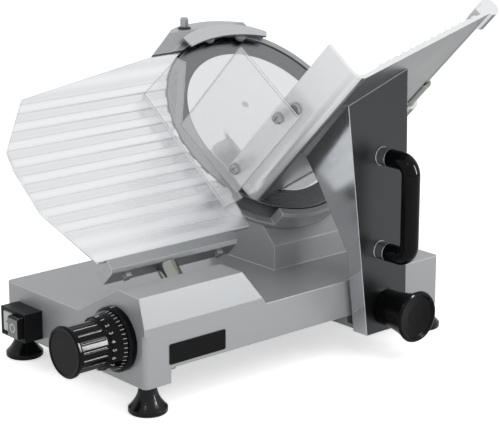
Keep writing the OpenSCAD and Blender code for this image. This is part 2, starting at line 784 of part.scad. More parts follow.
module switch_housing() color("#141516") place() difference() {
  union() {
    translate([-switch_x - switch_w / 2, -switch_l, switch_z - switch_h / 2])
      cube([switch_w, switch_l, switch_h]);
    translate([-switch_x - switch_body_w / 2, -eps, switch_z - switch_body_h / 2])
      cube([switch_body_w, wall + 26, switch_body_h]);
  }
  for (x = [on_x, off_x]) translate([x - button_w / 2, -switch_l - eps, switch_z - button_h / 2])
    cube([button_w, well_d + eps, button_h]);
}

// A button with bevelled upper and lower edges, standing proud of the housing
button_bevel = 2;
on_proud = -0.5;
off_proud = 8;

module switch_button(x, proud) {
  w = button_w / 2 - slide_fit;
  h = button_h / 2 - slide_fit;
  front = -switch_l - proud;
  back = -switch_l + well_d - button_travel - slide_fit;
  translate([0, 0, switch_z]) yz_prism(x - w, x + w) polygon([
    [front + button_bevel, -h], [back, -h], [back, h], [front + button_bevel, h],
    [front, h - button_bevel], [front, button_bevel - h]]);
}

module switch_button_on() color("#c9cbc8") place() switch_button(on_x, on_proud);

module switch_button_off() color("#8d9092") place() switch_button(off_x, off_proud);

// Dial: a fixed bezel, a graduated collar with the knob's fluted grip, and a spiral cam behind the wall
cap_rim_r = grip_r + 3;
cap_rim_l = 5;
flute_r = 1.8;
spindle_in = 20;

module dial_frame() { translate([-dial_x, 0, dial_z]) children(); }

module dial_bezel() color("#161718") place() dial_frame()
  translate([0, -bezel_l, 0]) rotate([-90, 0, 0]) rotate_extrude() polygon([
    [collar_r - 9, 0], [bezel_r - 2, 0], [bezel_r, 2.5], [bezel_r, bezel_l], [collar_r - 9, bezel_l]]);

module dial_knob() color("#161718") place() dial_frame() difference() {
  translate([0, -dial_l, 0]) rotate([-90, 0, 0]) rotate_extrude() polygon([
    [0, 1], [cap_rim_r - 4, 1], [cap_rim_r - 3, 0], [cap_rim_r - 1.5, 0], [cap_rim_r, 1.5],
    [cap_rim_r, cap_rim_l - 1], [cap_rim_r - 1, cap_rim_l], [grip_r, cap_rim_l + 2],
    [grip_r, dial_l + spindle_y0 - 3], [grip_r + 2, dial_l + spindle_y0],
    [collar_r - 4, dial_l + spindle_y0], [collar_r, dial_l - bezel_l - slide_fit],
    [0, dial_l - bezel_l - slide_fit]]);
  for (a = [0:360 / flutes:359]) rotate([0, a, 0]) translate([0, 0, grip_r + 0.8])
    rod_along_y(flute_r, -dial_l + cap_rim_l + 3, spindle_y0 - 4);
  rod_along_y(spindle_r + fix_fit, spindle_y0 - spindle_in, eps);
}

function cam_r(turn) = cam_r0 + gauge_travel * max(0, min(1, turn / dial_sweep));
spare_turn = (360 - dial_sweep) / 2;

module dial_cam() color("#b4b6b8") place() dial_frame() {
  rod_along_y(spindle_r, spindle_y0 - spindle_in, cam_y + cam_t + 2);
  translate([0, cam_y + cam_t, 0]) rotate([90, 0, 0]) linear_extrude(cam_t) polygon([
    for (i = [0:72]) let (turn = -spare_turn + 360 * i / 72, a = 180 + blade_tilt - turn)
      cam_r(turn) * [cos(a), sin(a)]]);
}

// Thickness gauge: plate, bracket, post and slider move together along the blade axis
gauge_left_low = -313;
gauge_left_high = -303;
gauge_step = -60;
gauge_bend = -58;
gauge_brow = 24;
gauge_slope = 29;
gauge_rib_top = 66;
bracket_y0 = -304;
bracket_y1 = -127;
bracket_h = 16;
bracket_d = 26;
bracket_lip = 20;
bracket_lip_t = 6;
gauge_bolt_in = 24;

module gauge_outline() {
  difference() {
    polygon([
      [gauge_left_low, -gauge_drop], [5 - gauge_reach, gauge_bend], [-gauge_reach, 0],
      [3 - gauge_reach, gauge_brow],
      [gauge_left_high, gauge_top - gauge_slope], [-shoulder_left, gauge_top], [gauge_step, gauge_top],
      [gauge_step, 0], [-gauge_toe, gauge_step],
      [-gauge_toe, -gauge_drop]]);
    circle(ring_in, $fn = 128);
  }
}

module gauge_plate() color("#e6e7e8") place() blade_frame() {
  translate([0, 0, -gauge_t - gauge_rib_h]) linear_extrude(gauge_t) gauge_outline();
  translate([0, 0, -gauge_rib_h - 0.5]) linear_extrude(gauge_rib_h + 0.5) intersection() {
    gauge_outline();
    for (i = [0:gauge_ribs - 1]) translate([-gauge_reach, gauge_rib_top - gauge_rib_pitch * i])
      square([gauge_reach, gauge_rib_pitch * 0.5]);
  }
}

module gauge_bracket() color("#d4d6d8") place() blade_frame() difference() {
  back = -gauge_t - gauge_rib_h;
  translate([bracket_y0, 0, 0]) rotate([90, 0, 90]) linear_extrude(bracket_y1 - bracket_y0) polygon([
    [-gauge_drop - bracket_h, -bracket_d], [-gauge_drop - bracket_h, -4], [-gauge_drop - bracket_h + 4, 0],
    [-gauge_drop - 0.2, 0], [-gauge_drop - 0.2, back], [-gauge_drop + bracket_lip, back],
    [-gauge_drop + bracket_lip, back - bracket_lip_t], [-gauge_drop, back - bracket_lip_t],
    [-gauge_drop, -bracket_d]]);
  at_gauge_bolts() cylinder(r = gauge_bolt_r + fix_fit, h = 12);
}

gauge_bolt_r = 3;

module at_gauge_bolts() {
  for (y = [bracket_y0 + gauge_bolt_in, bracket_y1 - gauge_bolt_in])
    translate([y, -gauge_drop - bracket_h, -bracket_d / 2]) rotate([-90, 0, 0]) children();
}

module gauge_bolts() color("#a8aaac") place() blade_frame() at_gauge_bolts() {
  translate([0, 0, -5]) cylinder(r = 6, h = 5, $fn = 6);
  cylinder(r = gauge_bolt_r, h = 12);
}

slider_l = 34;
slider_half = 12;
slider_n0 = dial_n - 12;
post_m0 = gauge_rod_m + slider_half;

module gauge_post() color("#dcdee0") place() slope_frame()
  translate([post_y, blade_m - gauge_drop - bracket_h - fix_fit, post_n]) rotate([90, 0, 0])
    cylinder(r = post_r, h = blade_m - gauge_drop - bracket_h - fix_fit - post_m0);

module gauge_slider() color("#9c9ea0") place() slope_frame() difference() {
  union() {
    translate([gauge_rod_y - slider_half, gauge_rod_m - slider_half, slider_n0])
      cube([2 * slider_half, 2 * slider_half, slider_l]);
    translate([cam_y + cam_t + 1, dial_m - 5, follower_n - 5])
      cube([gauge_rod_y - slider_half - cam_y - cam_t, slider_half + 6, 11]);
    translate([cam_y, dial_m, follower_n]) rotate([0, 90, 0]) cylinder(r = pin_r, h = cam_t + 2);
    translate([gauge_rod_y + slider_half - eps, gauge_rod_m, post_n - 16])
      cube([post_y + post_r + 2 - gauge_rod_y - slider_half, slider_half, 30]);
  }
  translate([gauge_rod_y, gauge_rod_m, slider_n0 - eps])
    cylinder(r = gauge_rod_r + run_fit, h = slider_l + 2 * eps);
}

module gauge_rod() color("#dcdee0") place() slope_frame()
  translate([gauge_rod_y, gauge_rod_m, lug_low_n])
    cylinder(r = gauge_rod_r, h = lug_high_n - lug_low_n + lug_t);

// Carriage: a foot under the base's side wall runs on a round rod and a flat bar
arm_z0 = -1.5;
foot_t = 5;
foot_y0 = arm_y0 + arm_wall + slide_fit;
foot_y1 = arm_y1 - arm_wall - slide_fit;
foot_l = foot_y1 - foot_y0;
upright_t = 12;
upright_h = 60;
shoe_half = 9;
upright_x1 = arm_out - arm_wall;
bush_r = 10;
bush_l = 18;
bar_clear = 0.15;
clamp_y = arm_y0 + 31;
stud_r = 5;
collar_w = 10;

module carriage_rod() color("#dcdee0") place()
  translate([-rod_x, 0, rod_z]) rod_along_y(rod_r, wall, base_l - wall);

module guide_bar() color("#b4b6b8") place()
  translate([-bar_x - bar_t / 2, wall, bar_z]) cube([bar_t, base_l - 2 * wall, bar_h]);

module stop_collars() color("#3a3c3e") place()
  for (y = [foot_y1 + slide_fit, foot_y0 - carriage_travel - slide_fit - collar_w])
    translate([-rod_x, y + collar_w, rod_z]) rotate([90, 0, 0]) tube(rod_r + 4, rod_r + fix_fit, collar_w);

module carriage_foot() color("#8a8c8e") place() difference() {
  union() {
    translate([-bar_x - 10, foot_y0, arm_z0]) cube([upright_x1 + bar_x + 10, foot_l, foot_t]);
    translate([-rod_x - bush_r - 4, foot_y0, arm_z0])
      cube([2 * bush_r + 8, foot_l, rod_z + bush_r - arm_z0 + 2]);
    translate([-bar_x - shoe_half, foot_y0, arm_z0])
      cube([2 * shoe_half, foot_l, bar_z + bar_h - arm_z0 + 2]);
    translate([upright_x1 - upright_t, foot_y0 + 3, arm_z0]) cube([upright_t, foot_l - 12, upright_h]);
  }
  translate([-rod_x, 0, rod_z]) rod_along_y(bush_r + fix_fit, foot_y0 - eps, foot_y1 + eps);
  translate([-bar_x - bar_t / 2 - bar_clear, foot_y0 - eps, bar_z - slide_fit])
    cube([bar_t + 2 * bar_clear, foot_l + 2 * eps, 2 * bar_h]);
  translate([0, clamp_y, clamp_z])
    rod_along_x(stud_r + run_fit, upright_x1 - upright_t - eps, upright_x1 + eps);
}

module slide_bushes() color("#b08d57") place() for (y = [foot_y0, foot_y1 - bush_l])
  translate([-rod_x, y + bush_l, rod_z]) rotate([90, 0, 0]) tube(bush_r, rod_r + run_fit, bush_l);

arm_top_z = 340;

// The arm's side view in y and z, drawn in by the wall for its hollow
module arm_side(in) {
  h = arm_top_z - arm_z0;
  polygon([
    [arm_y0 + in, arm_z0 - in], [arm_y1 - in, arm_z0 - in], [arm_y1 - in - 0.02 * h, arm_top_z],
    [arm_y0 + in - arm_lean * h, arm_top_z]]);
}

// All that lies above a plane parallel to the tray's underside
module above_tray(up) { tray_frame() translate([-arm_top_z, up, -arm_top_z]) cube(3 * arm_top_z); }

arm_reach = 60;
cheek_z = 215;

module carriage_arm() color("#c4c6c8") place() difference() {
  union() {
    intersection() {
      xz_prism(arm_y0 - arm_top_z * arm_lean - eps, arm_y1 + eps) polygon([
        [arm_gap, arm_z0], [arm_out, arm_z0], [arm_out, arm_top_z], [-arm_reach, arm_top_z],
        [-arm_reach, cheek_z], [4 - arm_reach, cheek_z - 6],
        [25 - arm_reach, cheek_z - 40], [arm_gap, arm_flare_z]]);
      yz_prism(-2 * arm_reach, arm_out) arm_side(0);
    }
    at_handle_legs() rod_along_x(handle_r, arm_out - eps, arm_out + handle_boss_l);
  }
  above_tray(0);
  difference() {
    yz_prism(-2 * arm_reach, arm_out - arm_wall) arm_side(arm_wall);
    above_tray(-arm_wall);
  }
  at_handle_legs() rod_along_x(handle_bolt_r + fix_fit, upright_x1 - eps, arm_out + handle_boss_l + eps);
  translate([0, clamp_y, clamp_z]) rod_along_x(stud_r + run_fit, upright_x1 - eps, arm_out + eps);
  at_tray_bolts() translate([0, 0, -eps]) cylinder(r = tray_bolt_r + fix_fit, h = arm_wall + 2 * eps);
}

// Handle: a bow whose two legs meet bosses on the arm, held by bolts from inside the arm
handle_bolt_r = 3;
handle_bolt_in = 13;
handle_head_t = 4;
handle_boss_l = 13;
leg_x = arm_out + handle_boss_l;

module at_handle_legs() {
  for (z = [handle_z, handle_z + handle_span]) translate([0, arm_y0 + handle_y, z]) children();
}

// A quarter bend in x and z, from the given angle on
module handle_elbow(z, from) {
  translate([handle_x - handle_bend, arm_y0 + handle_y, z]) rotate([90, 0, 0]) rotate([0, 0, from])
    rotate_extrude(angle = 90) translate([handle_bend, 0]) circle(handle_r);
}

module handle() color("#101112") place() difference() {
  union() {
    at_handle_legs() rod_along_x(handle_r, leg_x, handle_x - handle_bend);
    translate([handle_x, arm_y0 + handle_y, handle_z + handle_bend])
      cylinder(r = handle_r, h = handle_span - 2 * handle_bend);
    handle_elbow(handle_z + handle_bend, -90);
    handle_elbow(handle_z + handle_span - handle_bend, 0);
  }
  at_handle_legs() rod_along_x(handle_bolt_r + fix_fit, leg_x - eps, leg_x + handle_bolt_in + eps);
}

module handle_bolts() color("#8f9193") place() at_handle_legs() {
  rod_along_x(handle_bolt_r, upright_x1 - eps, leg_x + handle_bolt_in);
  rod_along_x(2 * handle_bolt_r, upright_x1 - handle_head_t, upright_x1);
}

// Clamp knob: a flared grip with a dished end, on a stud that goes through the arm into its foot
neck_r = 0.7 * clamp_r;
dish = 5.5;

module clamp_knob() color("#131415") place()
  translate([arm_out + slide_fit, clamp_y, clamp_z]) rotate([0, 90, 0]) {
    rotate_extrude() polygon(concat(
      [[0, 0], [neck_r - 2, 0], [neck_r, 2]],
      [for (i = [1:6]) let (a = i / 6)
        [neck_r + (clamp_r - 1 - neck_r) * pow(a, 2.2), 2 + (clamp_l - 6) * a]],
      [[clamp_r, clamp_l - 2.5], [clamp_r - 1, clamp_l - 0.8], [clamp_r - 2.5, clamp_l],
        [clamp_r - 4.5, clamp_l - 0.5], [clamp_r - 6, clamp_l - dish / 2],
        [clamp_r * 0.4, clamp_l - dish + 0.5], [0, clamp_l - dish]]));
    translate([0, 0, -arm_wall - upright_t - slide_fit])
      cylinder(r = stud_r, h = arm_wall + upright_t + slide_fit + eps);
  }

// Food tray: a right-angled trough with ribs along it and two lugs for the pusher's rod
rib_start = 40;
fence_t = tray_t;

module tray_outline() {
  polygon(concat(
    [[0, fence_h]],
    [for (a = [180:15:270]) [tray_fillet + tray_fillet * cos(a), tray_fillet + tray_fillet * sin(a)]],
    [[floor_w, 0], [floor_w, tray_t]],
    [for (i = [floor_ribs - 1:-1:0], k = [4:-1:0])
      [rib_start + floor_rib_pitch * (i + k / 4 * 0.96), tray_t + floor_rib_h * sin(180 * k / 4)]],
    [for (a = [270:-15:180]) let (r = tray_fillet - fence_t) [
      tray_fillet + r * cos(a), tray_fillet + r * sin(a)]],
    [[fence_t, fence_h]]));
}

module rod_lug(l) {
  translate([pusher_rod_out, pusher_rod_up, 0]) cylinder(r = lug_r, h = l);
  translate([floor_w - 5, 0, 0]) cube([pusher_rod_out - floor_w + 5, pusher_rod_up + 6, l]);
}

tray_bolt_r = 3;
tray_bolt_spots = [[60, 190], [60, 135], [105, 195], [105, 142]];

module at_tray_bolts() {
  for (s = tray_bolt_spots) tray_frame() translate([s[0], -arm_wall, s[1]]) rotate([-90, 0, 0]) children();
}

guard_screw_r = 3;
guard_spots = [[25, 40], [127, 39]];

module at_guard_screws() {
  for (s = guard_spots) tray_frame() translate([0, s[1], tray_n + s[0]]) rotate([0, 90, 0]) children();
}

module food_tray() color("#d9dbdc") place() difference() {
  tray_frame() translate([0, 0, tray_n]) union() {
    linear_extrude(tray_l) tray_outline();
    rod_lug(low_lug_l);
    translate([0, 0, tray_l - lug_l]) rod_lug(lug_l);
  }
  tray_frame() translate([pusher_rod_out, pusher_rod_up, tray_n - eps])
    cylinder(r = pusher_rod_r + fix_fit, h = tray_l - 3);
  at_tray_bolts() cylinder(r = tray_bolt_r + fix_fit, h = arm_wall + 3);
  at_guard_screws() translate([0, 0, -eps]) cylinder(r = guard_screw_r + fix_fit, h = fence_t + 2 * eps);
}

module tray_bolts() color("#8f9193") place() at_tray_bolts() {
  cylinder(r = tray_bolt_r, h = arm_wall + 3);
  translate([0, 0, -4]) cylinder(r = 2 * tray_bolt_r, h = 4, $fn = 6);
}

module hand_guard() color("#e8f0f4", 0.35) place() difference() {
  tray_frame() translate([0, 0, tray_n]) {
    translate([-guard_gap - guard_t, guard_low, 0]) cube([guard_t, guard_high - guard_low, guard_l]);
    linear_extrude(guard_t) polygon([
      [-guard_gap - guard_lip, guard_low - 8], [12 - guard_gap - guard_lip, guard_lip_h],
      [50, guard_lip_h + 24], [58, guard_lip_h + 14], [-guard_gap, guard_high],
      [-guard_gap, guard_low - 8]]);
  }
  at_guard_screws() translate([0, 0, -guard_gap - guard_t - eps])
    cylinder(r = guard_screw_r + fix_fit, h = guard_t + 2 * eps);
}

module guard_spacers() color("#c9cbcd") place() at_guard_screws()
  translate([0, 0, -guard_gap]) tube(7, guard_screw_r + fix_fit, guard_gap);

module guard_screws() color("#c9cbcd") place() at_guard_screws() difference() {
  union() {
    translate([0, 0, -guard_gap - guard_t - 3]) cylinder(r1 = 5, r2 = 6.5, h = 3);
    translate([0, 0, -guard_gap - guard_t - eps])
      cylinder(r = guard_screw_r, h = guard_gap + guard_t + fence_t + eps);
  }
  translate([-8, -0.7, -guard_gap - guard_t - 4]) cube([16, 1.4, 2.5]);
}

// Food pusher: its sleeve slides on the rod, and its arm swings on the sleeve
sleeve_n = tray_n + low_lug_l + 4;
hub_n = sleeve_n + 4;
hub_l = 30;
plate_n = tray_n + 10;
plate_t = 6;
plate_x0 = 22;
plate_y0 = tray_t + floor_rib_h + 5;
knob_x = 110;
knob_y = 56;
knob_stud_r = 4;
knob_r = 15;
knob_l = 44;
knob_neck_r = 8;
bend_x = pusher_rod_out - 66;
bend_low = knob_y - 26;
bend_high = knob_y - 4;
knob_boss_r = 14;
tooth_in = 15;
tooth_h = 6;
pusher_arm_t = 16;
arm_n = hub_n + 6;

module pusher_rod() color("#dcdee0") place() tray_frame()
  translate([pusher_rod_out, pusher_rod_up, tray_n]) cylinder(r = pusher_rod_r, h = tray_l - 4);

module pusher_sleeve() color("#dcdee0") place() tray_frame()
  translate([pusher_rod_out, pusher_rod_up, sleeve_n]) difference() {
    union() {
      tube(sleeve_r, pusher_rod_r + run_fit, sleeve_l);
      translate([0, 0, hub_n - sleeve_n - 4]) tube(sleeve_r + 3, pusher_rod_r + run_fit, 4 - slide_fit);
    }
    translate([0, 0, sleeve_l - 2]) cylinder(r = pusher_rod_r + 2, h = 3);
  }

module pusher_arm() color("#c4c6c8") place() tray_frame() difference() {
  union() {
    translate([pusher_rod_out, pusher_rod_up, hub_n]) cylinder(r = pusher_hub_r, h = hub_l);
    translate([0, 0, arm_n]) linear_extrude(pusher_arm_t) polygon([
      [pusher_rod_out + 4, pusher_rod_up + 13], [pusher_rod_out - 14, pusher_rod_up + 6],
      [bend_x, bend_low],
      [knob_x - 10, knob_y - knob_boss_r], [knob_x - 10, knob_y + knob_boss_r],
      [bend_x, bend_high]]);
    translate([knob_x, knob_y, plate_n + plate_t])
      cylinder(r = knob_boss_r, h = arm_n + pusher_arm_t - plate_n - plate_t);
  }
  translate([pusher_rod_out, pusher_rod_up, hub_n - eps])
    cylinder(r = sleeve_r + run_fit, h = hub_l + 2 * eps);
  translate([knob_x, knob_y, plate_n]) cylinder(r = knob_stud_r + fix_fit, h = tray_l / 2);
}

module pusher_plate() color("#d9dbdc") place() tray_frame() difference() {
  translate([plate_x0, plate_y0, plate_n]) union() {
    linear_extrude(plate_t) round_rect(pusher_w, pusher_h, 10);
    for (x = [tooth_in:(pusher_w - 2 * tooth_in) / 5:pusher_w - tooth_in + 0.1])
      for (y = [tooth_in:(pusher_h - 2 * tooth_in) / 3:pusher_h - tooth_in + 0.1])
        translate([x, y, 0.5]) rotate([180, 0, 0]) cylinder(r1 = 3, r2 = 0.6, h = tooth_h + 0.5);
  }
  translate([knob_x, knob_y, plate_n - eps]) cylinder(r = knob_stud_r + fix_fit, h = plate_t + 2 * eps);
}

module pusher_knob() color("#131415") place() tray_frame()
  translate([knob_x, knob_y, arm_n + pusher_arm_t]) {
    rotate_extrude() polygon([
      [0, 0], [knob_neck_r + 1, 0], [knob_neck_r + 2, 2], [knob_neck_r, knob_l - 32],
      [knob_r - 4, knob_l - 20], [knob_r, knob_l - 12],
      [knob_r, knob_l - 6], [knob_r - 3, knob_l - 1], [0, knob_l]]);
    translate([0, 0, plate_n - arm_n - pusher_arm_t + 1])
      cylinder(r = knob_stud_r, h = arm_n + pusher_arm_t - plate_n);
  }

// Sharpener: a hood on the ring, two grinding stones under it, and a press pin on the shoulder
hood_a0 = 58;
hood_a1 = 114;
hood_t = 3;
hood_h = 12;
hood_arc_r = 200;
hood_arc_u = 6;
hood_crown_v = 119.5;
hood_arc_v = hood_crown_v - hood_arc_r;
stone_r = 8;
stone_t = 4;
stone_w = 4;
stone_angles = [74, 96];
sharp_pin_r = 5;
pin_travel = 5;
pin_up = 14;
pin_down = 15;
pin_hole_l = pin_down + pin_travel + 2;
pin_w = -8;
pin_x = blade_x - (shoulder_z - blade_z - pin_w * sin_t) * tan(blade_tilt) + pin_w * cos_t;
pin_u = 28;
pin_y = blade_y - pin_u;

// The hood is a turned lip and top, and its inner edge is a flatter arc than the ring
module sharpener_hood() color("#d2d4d5") place() blade_frame() difference() {
  rotate([0, 0, hood_a0]) rotate_extrude(angle = hood_a1 - hood_a0, $fn = 96) polygon([
    [blade_r - blade_bevel, hood_h - hood_t], [ring_out - hood_t, hood_h - hood_t],
    [ring_out - hood_t, rim_h], [ring_out, rim_h], [ring_out, hood_h], [blade_r - blade_bevel, hood_h]]);
  translate([hood_arc_u, hood_arc_v, -eps]) cylinder(r = hood_arc_r, h = 2 * hood_h, $fn = 128);
}

module sharpener_stones() color("#4a4c4e") place() blade_frame()
  for (a = stone_angles) rotate([0, 0, a]) translate([ring_out - hood_t - stone_r - 1, 0, stone_w]) {
    cylinder(r = stone_r, h = stone_t);
    cylinder(r = 4, h = hood_h - hood_t - stone_w);
  }

module sharpener_pin() color("#dcdee0") place() translate([pin_x, pin_y, shoulder_z]) {
  translate([0, 0, -pin_down]) cylinder(r = sharp_pin_r, h = pin_down + pin_up - 2);
  translate([0, 0, pin_up - 2]) cylinder(r1 = sharp_pin_r, r2 = sharp_pin_r - 1.5, h = 2);
}

// Gland where the mains lead enters, at the back
gland_in = 43;
gland_x = base_w - gland_in;
gland_z = 28;
gland_r = 8;
gland_bore_r = 3.5;

module cord_gland() color("#141516") place() translate([-gland_x, 0, gland_z]) difference() {
  union() {
    rod_along_y(gland_r, base_l - wall - 6, base_l + eps);
    rod_along_y(gland_r + 4, base_l, base_l + 5);
  }
  rod_along_y(gland_bore_r, base_l - 2 * wall - 6, base_l + 2 * wall);
}

base_casting();
bottom_cover();
cover_screws();
feet();
foot_screws();
blade_ring();
ring_bolts();
shaft_bearings();
blade_shaft();
blade();
blade_cover();
cover_disc_screws();
blade_pulley();
drive_belt();
motor_pulley();
motor_shaft();
motor();
motor_bracket();
capacitor();
switch_housing();
switch_button_on();
switch_button_off();
dial_bezel();
dial_knob();
dial_cam();
gauge_plate();
gauge_bracket();
gauge_bolts();
gauge_post();
gauge_slider();
gauge_rod();
carriage_rod();
guide_bar();
stop_collars();
carriage_foot();
slide_bushes();
carriage_arm();
handle();
handle_bolts();
clamp_knob();
food_tray();
tray_bolts();
hand_guard();
guard_spacers();
guard_screws();
pusher_rod();
pusher_sleeve();
pusher_arm();
pusher_plate();
pusher_knob();
sharpener_hood();
sharpener_stones();
sharpener_pin();
cord_gland();
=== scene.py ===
"""Looks of a gravity-feed food slicer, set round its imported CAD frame."""

import json
import math

import bmesh
import bpy
from bpy.props import FloatProperty, FloatVectorProperty, IntProperty, PointerProperty
from mathutils import Euler, Matrix, Vector


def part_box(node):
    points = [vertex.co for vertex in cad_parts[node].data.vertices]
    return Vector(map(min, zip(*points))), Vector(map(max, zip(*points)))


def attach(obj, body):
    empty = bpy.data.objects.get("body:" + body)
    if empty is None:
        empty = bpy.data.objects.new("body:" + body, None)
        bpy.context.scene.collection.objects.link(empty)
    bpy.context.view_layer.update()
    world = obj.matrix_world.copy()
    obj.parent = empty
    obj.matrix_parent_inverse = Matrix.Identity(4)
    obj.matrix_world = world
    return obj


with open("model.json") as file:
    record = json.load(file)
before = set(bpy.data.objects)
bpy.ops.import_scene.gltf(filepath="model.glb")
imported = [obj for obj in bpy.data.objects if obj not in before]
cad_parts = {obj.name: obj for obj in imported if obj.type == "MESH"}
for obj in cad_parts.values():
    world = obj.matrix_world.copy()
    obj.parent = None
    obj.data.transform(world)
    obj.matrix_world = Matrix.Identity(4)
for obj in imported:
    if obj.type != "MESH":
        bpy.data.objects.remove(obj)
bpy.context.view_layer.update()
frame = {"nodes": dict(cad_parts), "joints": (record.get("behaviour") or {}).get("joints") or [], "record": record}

bl_info = {
    "name": "Food slicer looks",
    "version": (1, 0, 0),
    "blender": (4, 5, 0),
    "location": "3D View > Sidebar > Slicer",
    "description": "Materials, marks and stage of a food slicer",
    "category": "Object",
}

MM = 0.001
JOINTS = {joint["name"]: joint for joint in frame["joints"]}
BLADE_CENTRE = Vector(JOINTS["blade_spin"]["pos_m"])
BLADE_AXIS = Vector(JOINTS["blade_spin"]["axis"]).normalized()
UP_SLOPE = Vector((0, -1, 0)).cross(BLADE_AXIS)
DIAL_CENTRE = Vector(JOINTS["dial_turn"]["pos_m"])
RIGHT, FRONT, UP = Vector((1, 0, 0)), Vector((0, -1, 0)), Vector((0, 0, 1))
TRAY_TURN = math.radians(13)
# Cosine of the angle to a face colour's own direction, where that colour starts and where it is full
FACING_FROM, FACING_FULL = 0.8, 0.95
# Cosine of the angle that a rounded edge turns the surface by, where the edge colour starts and where it is
# full: wear on some finishes, a painted highlight on the metal ones
EDGE_WEAR_AND_HIGHLIGHT_FROM, EDGE_WEAR_AND_HIGHLIGHT_FULL = 0.99, 0.9
EDGE_SAMPLES = 6
# The stretch of a pattern that the roughness runs over, and the strength of every bump
PATTERN_LOW, PATTERN_HIGH = 0.3, 0.7
BUMP_STRENGTH = 0.35


def linear(hex_colour):
    """Turns an sRGB hex colour into the linear colour that a shader takes."""
    channels = [int(hex_colour[i:i + 2], 16) / 255 for i in (1, 3, 5)]
    return [c / 12.92 if c <= 0.04045 else ((c + 0.055) / 1.055) ** 2.4 for c in channels] + [1.0]


def add_node(tree, kind, sockets=None, **settings):
    """Adds a node with its settings; each socket gets a value, or a link from another node's output."""
    node = tree.nodes.new(kind)
    for key, value in settings.items():
        setattr(node, key, value)
    for key, value in (sockets or {}).items():
        if isinstance(value, bpy.types.NodeSocket):
            tree.links.new(value, node.inputs[key])
        else:
            node.inputs[key].default_value = value
    return node


class SlicerColours(bpy.types.PropertyGroup):
    """Colours that a user may change, linear"""

    casting: FloatVectorProperty(
        name="Casting", description="Silver lacquer of the base", subtype="COLOR", size=4,
        min=0, max=1, default=linear("#999b9d"))
    arm: FloatVectorProperty(
        name="Arm", description="Polished faces of the carriage arm", subtype="COLOR", size=4,
        min=0, max=1, default=linear("#d0d2d4"))
    tray: FloatVectorProperty(
        name="Tray", description="Anodised sheet of the food tray", subtype="COLOR", size=4,
        min=0, max=1, default=linear("#e6e7e8"))
    gauge: FloatVectorProperty(
        name="Gauge plate", description="Brushed aluminium of the gauge plate", subtype="COLOR", size=4,
        min=0, max=1, default=linear("#e8e9eb"))
    moulding: FloatVectorProperty(
        name="Moulding", description="Black plastic of the knobs and the handle", subtype="COLOR", size=4,
        min=0, max=1, default=linear("#060607"))


class SlicerSizes(bpy.types.PropertyGroup):
    """Sizes of the marks, the plate and the small trim"""

    dial_numbers: IntProperty(
        name="Dial numbers", description="Highest number on the dial", default=18, min=5, max=20)
    ticks_per_number: IntProperty(
        name="Ticks per number", description="Graduations from one number to the next", default=2,
        min=1, max=8)
    numeral_height: FloatProperty(
        name="Numeral height", description="Type size of a dial numeral", default=6.4 * MM, unit="LENGTH")
    tick_length: FloatProperty(
        name="Tick length", description="Length of a graduation on the dial", default=4.4 * MM, unit="LENGTH")
    tick_width: FloatProperty(
        name="Tick width", description="Width of a graduation on the dial", default=0.65 * MM, unit="LENGTH")
    plate_length: FloatProperty(
        name="Plate length", description="Length of the bare plate on the base", default=78 * MM,
        unit="LENGTH")
    plate_height: FloatProperty(
        name="Plate height", description="Height of the bare plate on the base", default=23 * MM,
        unit="LENGTH")
    bush_radius: FloatProperty(
        name="Bush radius", description="Outer radius of the bush round the sharpener pin", default=8 * MM,
        unit="LENGTH")
    fence_head_radius: FloatProperty(
        name="Fence screw radius", description="Radius of the slotted head on the tray's fence",
        default=7 * MM, unit="LENGTH")


def shaded(colour, factor):
    """A darker or paler copy of a linear colour."""
    return [min(1.0, channel * factor) for channel in colour[:3]] + [1.0]


